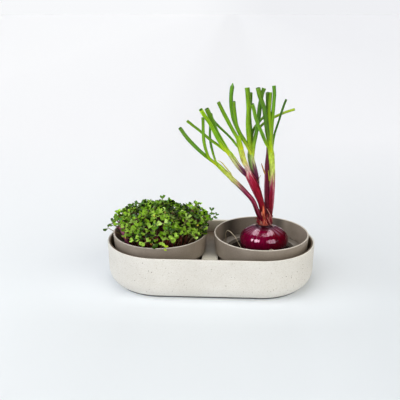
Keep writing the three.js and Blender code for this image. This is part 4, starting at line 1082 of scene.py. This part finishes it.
# ---------------------------------------------------------------- roots
def root(name, points, thick, seed):
    r = np.random.default_rng(seed)
    phase = r.uniform(0, 6, 4)

    def radius(t):
        return thick * (0.8 + 0.18 * math.sin(14 * t + phase[0]) + 0.12 * math.sin(37 * t + phase[1])) * (1 - 0.25 * t)

    verts, faces, uv, t, a, _, _ = tube(points, radius, 10, 90)
    wob = np.stack([np.sin(23 * t + phase[2]), np.cos(29 * t + phase[3]), np.sin(31 * t)], 1) * 0.22
    tint = blend_stops(t, [(0, srgb(150, 134, 112)), (0.5, srgb(206, 194, 168)), (1, srgb(176, 160, 134))])
    return piece(f"{name}_fibre", verts + wob, faces, [ROOT], "right_insert", [name], tint=tint, uv=uv)


root("root_left", [(21.2, 13.0, 47.4), (20.9, 4.0, 66.5), (24.0, 0.0, 70.8), (30.5, -4.0, 67.4), (36.0, -9.0, 60.6), (41.0, -13.0, 53.0), (44.5, -14.0, 45.0)], 0.56, 3)
root("root_front", [(70.0, -38.0, 45.6), (74.5, -39.5, 56.0), (80.5, -40.0, 61.4), (86.0, -39.0, 57.0), (89.5, -37.0, 46.4)], 0.6, 8)

# ---------------------------------------------------------------- seedlings
DOME = np.array([(42.5, 43.3), (47, 51), (52, 61), (57.5, 70.5), (63, 76), (65, 82), (60, 91), (50, 100), (35, 107.4), (17, 111.8), (0, 113)], float)
ROWS, COLS = 5, 5
ROW_U = np.array([0.0, 0.2, 0.45, 0.76, 1.0])
ROW_W = np.array([0.08, 0.12, 0.68, 1.0, 0.80])
COL_V = np.linspace(-1, 1, COLS)
U, V = np.meshgrid(ROW_U, COL_V, indexing="ij")
WIDTH = np.repeat(ROW_W[:, None], COLS, 1)
LEN = 1 - (np.array([0.12, 0.0, 0.30, 0.0, 0.12])[None, :]) * U**3
LEAF_FACES = []
K = ROWS * COLS
for i in range(ROWS - 1):
    for j in range(COLS - 1):
        a, b, c, d = i * COLS + j, i * COLS + j + 1, (i + 1) * COLS + j + 1, (i + 1) * COLS + j
        LEAF_FACES += [(a, d, c, b), (K + b, K + c, K + d, K + a)]
EDGE = list(range(COLS)) + [i * COLS + COLS - 1 for i in range(1, ROWS)]
EDGE += [(ROWS - 1) * COLS + j for j in range(COLS - 2, -1, -1)] + [i * COLS for i in range(ROWS - 2, 0, -1)]
for a, b in zip(EDGE, EDGE[1:] + EDGE[:1]):
    LEAF_FACES.append((a, b, K + b, K + a))
LEAF_FACES = np.array(LEAF_FACES, int)


def unit(x):
    x = np.asarray(x, float)
    return x / np.linalg.norm(x)


class Bed:
    """Seedlings gathered into one mesh."""

    def __init__(self, seed):
        self.r = np.random.default_rng(seed)
        self.verts, self.faces, self.tints, self.count = [], [], [], 0

    def add(self, verts, faces, tint):
        self.verts.append(verts)
        self.faces += [tuple(int(i) + self.count for i in q) for q in faces]
        self.tints.append(np.broadcast_to(tint, verts.shape))
        self.count += len(verts)

    def stem(self, path, r0, r1, low, high):
        c, _ = curve_points(path, 7)
        tan, a, b = frames(c, (0.3, -0.9, 0.1))
        sides = 4
        t = np.linspace(0, 1, len(c))
        rad = r0 + (r1 - r0) * t
        ang = np.linspace(0, 2 * math.pi, sides, endpoint=False)
        ring = c[:, None] + (a[:, None] * np.cos(ang)[None, :, None] + b[:, None] * np.sin(ang)[None, :, None]) * rad[:, None, None]
        verts = ring.reshape(-1, 3)
        faces = [(i * sides + k, i * sides + (k + 1) % sides, (i + 1) * sides + (k + 1) % sides, (i + 1) * sides + k)
                 for i in range(len(c) - 1) for k in range(sides)]
        faces += [tuple(range(sides - 1, -1, -1)), tuple((len(c) - 1) * sides + k for k in range(sides))]
        tint = low + (high - low) * np.repeat(t**1.4, sides)[:, None]
        self.add(verts, faces, tint)
        return tan[-1]

    def leaf(self, at, out, up, length, width, fold, curl, colour, under):
        ex = unit(out)
        ez = unit(np.asarray(up) - ex * (np.asarray(up) @ ex))
        ey = np.cross(ez, ex)
        x = length * U * LEN
        y = width * V * WIDTH
        lift = fold * np.abs(y) ** 1.3 / width**0.3 - curl * length * U**2 + 0.10 * width * np.sin(3.0 * V + 5 * U) * U
        top = at + x[..., None] * ex + y[..., None] * ey + lift[..., None] * ez
        bottom = top - ez * 0.32
        verts = np.concatenate([top.reshape(-1, 3), bottom.reshape(-1, 3)])
        rib = np.exp(-((V / 0.22) ** 2)) * smoothstep(1 - U, 0.0, 0.5)
        edge = smoothstep(np.abs(V), 0.6, 1.0) * U
        shade = (0.86 + 0.22 * U)[..., None]
        face = colour * shade
        face = face + (colour * 1.6 + 0.02 - face) * (0.25 * rib + 0.35 * edge)[..., None]
        # One half painted lighter and the other darker: painted light and shade across the fold.
        face = face * (1 + self.r.choice([-0.22, 0.22]) * V)[..., None]
        stalk = smoothstep(U, 0.34, 0.1)[..., None]
        face = face + (srgb(150, 168, 96) - face) * stalk * 0.7
        tint = np.concatenate([face.reshape(-1, 3), np.broadcast_to(under, (K, 3))])
        self.add(verts, LEAF_FACES, tint)

    def hull(self, at, size, colour):
        rows, cols = 6, 8
        pts = []
        q, _ = np.linalg.qr(self.r.normal(size=(3, 3)))
        for i in range(1, rows):
            th = math.pi * i / rows
            for k in range(cols):
                ph = 2 * math.pi * k / cols
                pts.append((1.25 * math.cos(th), math.sin(th) * math.cos(ph), 0.8 * math.sin(th) * math.sin(ph) * (1 + 0.15 * math.cos(3 * ph))))
        pts += [(1.4, 0, 0), (-1.25, 0, 0)]
        verts = np.array(pts) * size @ q.T + at
        n = (rows - 1) * cols
        faces = [(i * cols + k, i * cols + (k + 1) % cols, (i + 1) * cols + (k + 1) % cols, (i + 1) * cols + k)
                 for i in range(rows - 2) for k in range(cols)]
        faces += [(n, (k + 1) % cols, k) for k in range(cols)]
        faces += [(n + 1, (rows - 2) * cols + k, (rows - 2) * cols + (k + 1) % cols) for k in range(cols)]
        self.add(verts, faces, colour)

    def seedling(self, head, base, lean=None, big=1.0, tone=None, up=None):
        r = self.r
        head, base = np.asarray(head, float), np.asarray(base, float)
        rise = head - base
        tall = np.linalg.norm(rise)
        out = unit([rise[0], rise[1], 0.02]) if lean is None else np.asarray(lean, float)
        mid1 = base + rise * 0.35 + np.array([0, 0, 0.10 * tall]) - out * 0.06 * tall + r.normal(0, 0.8, 3)
        mid2 = base + rise * 0.7 + np.array([0, 0, 0.07 * tall]) - out * 0.05 * tall + r.normal(0, 0.8, 3)
        purple = srgb(88, 24, 42) * r.uniform(0.5, 1.1)
        top = srgb(160, 150, 104) if r.uniform() < 0.55 else srgb(132, 78, 84)
        tip = self.stem([base, mid1, mid2, head], r.uniform(0.55, 0.75), r.uniform(0.42, 0.55), purple, top)
        axis = unit(0.45 * tip + np.array([0, 0, 0.75]) + 0.35 * out + r.normal(0, 0.22, 3)) if up is None else unit(up)
        turn = r.uniform(0, 2 * math.pi)
        p = unit(np.cross(axis, [0.3, 0.9, 0.2]))
        q = np.cross(axis, p)
        greens = [srgb(46, 78, 0), srgb(92, 134, 8), srgb(122, 164, 32), srgb(150, 190, 68), srgb(172, 206, 104), srgb(26, 44, 0), srgb(90, 142, 66)]
        share = [0.17, 0.20, 0.21, 0.18, 0.05, 0.13, 0.06]
        colour = greens[r.choice(len(greens), p=share)] if tone is None else tone
        # The far side of the canopy catches the light from above, the near side is in its own shade.
        colour = colour * r.uniform(0.82, 1.16) * (0.88 + 0.66 * smoothstep(head[1], -32, 34))
        under = colour * 0.6 + np.array([0.006, 0.010, 0.003])
        open_ = r.uniform(0.15, 0.85)
        for k in (0, 1):
            a = turn + math.pi * k + r.normal(0, 0.18)
            flat = p * math.cos(a) + q * math.sin(a)
            d = unit(flat + axis * (open_ + r.normal(0, 0.12)))
            u = unit(axis - flat * open_)
            size = big * r.uniform(5.9, 8.6) * (1.0 if k == 0 else r.uniform(0.82, 1.0))
            self.leaf(head - tip * 0.3, d, u, size, size * r.uniform(0.5, 0.62), r.uniform(0.1, 0.75), r.uniform(0.0, 0.3), colour * r.uniform(0.92, 1.08), under)
        return axis


def dome_at(s):
    """Radius and height on the dome's outline, s from 0 at the overhang to 1 at the top."""
    rows = DOME[3:]
    seg = np.concatenate([[0], np.cumsum(np.linalg.norm(np.diff(rows, axis=0), axis=1))])
    seg /= seg[-1]
    return np.interp(s, seg, rows[:, 0]), np.interp(s, seg, rows[:, 1])


def canopy_shift(x, y):
    """How far the real canopy lies above or below the plain dome, across the bowl."""
    d = np.interp(x, [-134, -123, -111, -98, -85, -68, -52, -40, -31, -24, -18, -12, 0], [2.0, 0.8, -3.0, -5.2, -5, -5.5, -8, -8, -3, 2.5, 5.0, 6.5, 8])
    return d if d < 0 else d * smoothstep(y, -22, -2)


def grow():
    bed = Bed(11)
    r = bed.r
    grid = np.linspace(0, 1, 400)
    rad, _ = dome_at(grid)
    weight = np.cumsum(rad + 3)
    weight /= weight[-1]
    heads = []
    tries = 0
    # Heads keep a little apart, so that the cover is even.
    while len(heads) < 480 and tries < 40000:
        tries += 1
        s = float(np.interp(r.uniform(), weight, grid))
        rr, zz = dome_at(s)
        a = r.uniform(0, 2 * math.pi)
        deep = abs(r.normal(0, 4.8)) + 1.8
        rr, zz = rr - deep * 0.75, zz - deep * 0.8
        if rr < 0:
            continue
        x, y = LEFT_X + rr * math.cos(a), rr * math.sin(a)
        zz += canopy_shift(x, y) + r.normal(0, 1.2)
        # The front and the left side stay open below, where the stems show.
        if y < -22 and zz < 75.5 + 1.5 * math.sin(x / 9.0):
            continue
        if x < -108 and y < 12 and zz < 84.5 - 0.35 * (x + 122):
            continue
        h = np.array([x, y, zz])
        if heads and min(np.linalg.norm(np.array(heads) - h, axis=1)) < 4.1:
            continue
        heads.append(h)
    for h in heads:
        flat = np.array([h[0] - LEFT_X, h[1]])
        d = np.linalg.norm(flat)
        root_r = min(41.5, d * r.uniform(0.6, 0.78))
        base = np.array([LEFT_X, 0, 42.4]) + np.array([*(flat / max(d, 1e-6) * root_r + r.normal(0, 1.6, 2)), 0])
        bed.seedling(h, base)
    # Shorter ones below the canopy, painted near-black for the shade they stand in.
    for k in range(110):
        a, rad = r.uniform(0, 2 * math.pi), 40 * math.sqrt(r.uniform())
        base = np.array([LEFT_X + rad * math.cos(a), rad * math.sin(a), 42.4])
        h = base + np.array([r.normal(0, 3), r.normal(0, 3), r.uniform(14, 30)])
        bed.seedling(h, base, big=0.9, tone=srgb(24, 36, 3))
    # A few that hang over the rim towards the other bowl.
    for k in range(16):
        y = r.uniform(-26, 22)
        h = np.array([r.uniform(-9.5, -4.5) - 0.004 * y * y, y, r.uniform(75, 92)])
        bed.seedling(h, np.array([-30.0 + r.normal(0, 1.5), 0.6 * y, 42.4]), big=0.85)
    # Bare purple stems that lean out at the left and along the front.
    for k in range(18):
        a = math.radians(r.uniform(172, 226))
        base = np.array([LEFT_X + 41 * math.cos(a), 41 * math.sin(a), 42.4])
        far = r.uniform(50, 58)
        h = np.array([LEFT_X + far * math.cos(a), far * math.sin(a), r.uniform(76, 84)])
        mid = base * 0.4 + h * 0.6 - np.array([0, 0, 2.0])
        bed.stem([base, mid, h], 0.75, 0.5, srgb(148, 40, 92), srgb(204, 122, 158))
    for k in range(26):
        a = math.radians(r.uniform(232, 318))
        base = np.array([LEFT_X + 42 * math.cos(a), 42 * math.sin(a), 42.4])
        far = r.uniform(50, 57)
        h = np.array([LEFT_X + far * math.cos(a), far * math.sin(a), r.uniform(76, 84)])
        mid = base * 0.5 + h * 0.5 + np.array([r.normal(0, 2), 0, 1.0])
        bed.stem([base, mid, h], 0.7, 0.45, srgb(70, 16, 26), srgb(128, 60, 52))
    return bed


bed = grow()
# Stray sprigs: left, right, top, and one bent over the front rim.
bed.seedling((-140.0, -4.0, 73.2), (-106, -4, 42.4), big=0.85, tone=srgb(58, 86, 26), up=(-0.5, -0.5, 0.7))
bed.seedling((-135.5, 3.0, 77.5), (-106, 2, 42.4), big=0.85, tone=srgb(58, 88, 28), up=(-0.3, -0.4, 0.8))
bed.seedling((-131.0, -8.0, 79.5), (-106, -6, 42.4), big=0.9, tone=srgb(84, 118, 30), up=(-0.4, -0.5, 0.8))
bed.seedling((7.0, 6.0, 89.8), (-28, 4, 42.4), big=0.9, tone=srgb(60, 98, 28), up=(0.4, -0.5, 0.8))
bed.seedling((1.5, 4.0, 96.0), (-28, 8, 42.4), big=0.9, tone=srgb(62, 100, 30), up=(0.1, -0.4, 0.9))
bed.seedling((-1.5, 0.0, 89.0), (-30, 2, 42.4), big=0.85, tone=srgb(70, 108, 32), up=(0.3, -0.5, 0.8))
bed.seedling((-65.0, 6.0, 111.6), (-66, 4, 42.4), big=0.95, tone=srgb(88, 128, 36), up=(0.2, -0.5, 0.9))
bed.seedling((-71.0, 2.0, 107.8), (-70, 2, 42.4), big=0.9, tone=srgb(110, 140, 60), up=(-0.2, -0.5, 0.9))
bed.seedling((-98.0, 8.0, 104.0), (-90, 6, 42.4), big=0.9, tone=srgb(60, 94, 34), up=(-0.2, -0.5, 0.9))
bed.seedling((-110.0, 6.0, 99.0), (-98, 4, 42.4), big=0.9, tone=srgb(66, 100, 34), up=(-0.3, -0.5, 0.9))
bed.seedling((-54.0, -64.4, 70.2), (-58, -40, 42.4), big=0.66, tone=srgb(176, 206, 50), up=(0.1, -0.8, 0.55))
# Empty seed hulls that still cling to the leaves.
for at, size, colour in (((-71, -38, 104), 1.2, srgb(196, 190, 70)), ((-73.5, -57, 73), 1.3, srgb(200, 140, 60)), ((-108, -46, 76), 1.0, srgb(180, 160, 60)),
                         ((-48, -57, 80), 1.0, srgb(190, 180, 76)), ((-16, -27, 88), 1.2, srgb(200, 190, 64)), ((-58, -30, 106), 0.9, srgb(176, 150, 84))):
    bed.hull(np.array(at, float), size, colour)
piece("seedlings", np.concatenate(bed.verts), bed.faces, [GREEN], "left_insert", ["radish_greens"],
      tint=np.concatenate(bed.tints), sharp=75)

# ---------------------------------------------------------------- floor and light
floor_mat = Shader("floor", Specular_IOR_Level=0.06)
# Painted shade: the floor is darker towards +X, most of all just right of the tray.
far = floor_mat.ramp(floor_mat.map(floor_mat.axis("X"), -1.2, 1.1), [(0.0, (0.888, 0.902, 0.942)), (1.0, (0.812, 0.826, 0.874))])
close = floor_mat.ramp(floor_mat.map(floor_mat.axis("X"), -0.35, 0.35), [(0.0, (0.834, 0.873, 0.916)), (0.68, (0.790, 0.832, 0.878)), (0.86, (0.716, 0.756, 0.798)), (1.0, (0.708, 0.747, 0.789))])
base = floor_mat.mix(floor_mat.map(floor_mat.axis("Y"), 0.9, -0.05), far, close)
# In front of the tray the floor is painted a shade darker: a painted shadow.
ahead_painted_shadow = floor_mat.ramp(floor_mat.map(floor_mat.axis("Y"), -0.04, -0.40), [(k, (g, g, g)) for k, g in (
    (0.0, 0.97), (0.07, 0.95), (0.12, 0.92), (0.18, 0.90), (0.25, 0.89), (0.42, 0.93), (0.72, 0.98), (1.0, 1.0))])
beside = floor_mat.map(floor_mat.math("ABSOLUTE", floor_mat.axis("X")), 0.26, 0.10)
base = floor_mat.mix(beside, base, ahead_painted_shadow, "MULTIPLY")
# Right at the foot of the tray it is painted a shade lighter again: painted light.
foot_painted_light = floor_mat.ramp(floor_mat.map(floor_mat.axis("Y"), -0.05, -0.09), [(0.0, (1.0, 1.0, 1.0)), (0.4, (1.13, 1.13, 1.13)), (1.0, (1.0, 1.0, 1.0))])
beside = floor_mat.map(floor_mat.math("ABSOLUTE", floor_mat.axis("X")), 0.125, 0.085)
base = floor_mat.mix(beside, base, foot_painted_light, "MULTIPLY")
# A painted contact shadow: a thin dark line where the tray meets the floor, all the way round it, and a lighter painted
# line of light outside it.
along = floor_mat.math("MAXIMUM", floor_mat.math("SUBTRACT", floor_mat.math("ABSOLUTE", floor_mat.axis("X")), TRAY_STRETCH / 1000), 0.0)
across = floor_mat.axis("Y")
reach = floor_mat.math("SQRT", floor_mat.math("ADD", floor_mat.math("MULTIPLY", along, along), floor_mat.math("MULTIPLY", across, across)))
seam_painted_shadow_and_light = floor_mat.ramp(floor_mat.map(reach, 0.054, 0.074), [(k, (g, g, g)) for k, g in (
    (0.0, 0.30), (0.20, 0.32), (0.26, 0.45), (0.33, 1.28), (0.50, 1.16), (0.70, 1.05), (0.92, 1.0))])
floor_mat.set("Base Color", floor_mat.mix(1.0, base, seam_painted_shadow_and_light, "MULTIPLY"))
floor_mat.set("Roughness", floor_mat.map(floor_mat.noise(30, 3), 0.3, 0.7, 0.7, 0.85))
mesh = bpy.data.meshes.new("floor")
mesh.from_pydata([(-20, -20, 0), (20, -20, 0), (20, 20, 0), (-20, 20, 0)], [], [(0, 1, 2, 3)])
mesh.materials.append(floor_mat.mat)
floor = bpy.data.objects.new("floor", mesh)
floor.location.z = -0.0002
scene.collection.objects.link(floor)

# A round backdrop far away that glows pale, with the floor's painted shade towards +X, so that no dark horizon shows
# from the sides; it lights nothing.
wall_mat = Shader("backdrop", Base_Color=(0.0, 0.0, 0.0, 1.0), Emission_Strength=1.0, Specular_IOR_Level=0.0)
wall_mat.set("Emission Color", wall_mat.ramp(wall_mat.map(wall_mat.axis("X"), -1.2, 1.1),
                                             [(0.0, (0.940, 0.949, 0.966)), (1.0, (0.864, 0.872, 0.898))]))
wall_mat.mat.cycles.emission_sampling = "NONE"
turns = 64
ring = [(19.0 * math.cos(2 * math.pi * k / turns), 19.0 * math.sin(2 * math.pi * k / turns)) for k in range(turns)]
mesh = bpy.data.meshes.new("backdrop")
mesh.from_pydata([(x, y, z) for z in (-0.5, 14.0) for x, y in ring], [],
                 [(k, turns + k, turns + (k + 1) % turns, (k + 1) % turns) for k in range(turns)])
mesh.materials.append(wall_mat.mat)
wall = bpy.data.objects.new("backdrop", mesh)
wall.visible_diffuse = wall.visible_glossy = wall.visible_shadow = False
scene.collection.objects.link(wall)

world = bpy.data.worlds.new("world")
world.use_nodes = True
world.node_tree.nodes["Background"].inputs["Color"].default_value = (0.97, 0.985, 1.0, 1.0)
world.node_tree.nodes["Background"].inputs["Strength"].default_value = 0.03
scene.world = world


def sunlight(name, azimuth, elevation, spread, level, gloss=None, colour=(1.0, 0.99, 0.97)):
    """Wide even light from one direction; azimuth runs from the front towards +X."""
    a, e = math.radians(azimuth), math.radians(elevation)
    data = bpy.data.lights.new(name, "SUN")
    data.energy = level * math.pi
    data.angle = math.radians(spread)
    data.color = colour
    obj = bpy.data.objects.new(name, data)
    to = Vector((math.sin(a) * math.cos(e), -math.cos(a) * math.cos(e), math.sin(e)))
    obj.rotation_euler = to.to_track_quat("Z", "Y").to_euler()
    # The wide lights give the soft shading, the narrow ones the highlights.
    if gloss is not None:
        obj.visible_glossy = gloss
        obj.visible_diffuse = not gloss
    scene.collection.objects.link(obj)
    return obj


sunlight("key", -50, 36, 76, 0.70, gloss=False, colour=(0.98, 0.99, 1.0))
sunlight("fill", 57, 28, 60, 0.46, gloss=False, colour=(1.0, 0.96, 0.86))
sunlight("front", 0, 42, 80, 0.05, gloss=False)
sunlight("top", 180, 83, 60, 0.40, gloss=False)
sunlight("key_shine", -50, 43, 34, 2.3, gloss=True)
sunlight("fill_shine", 42, 40, 38, 0.95, gloss=True)
sunlight("top_shine", -178, 61, 46, 1.35, gloss=True)
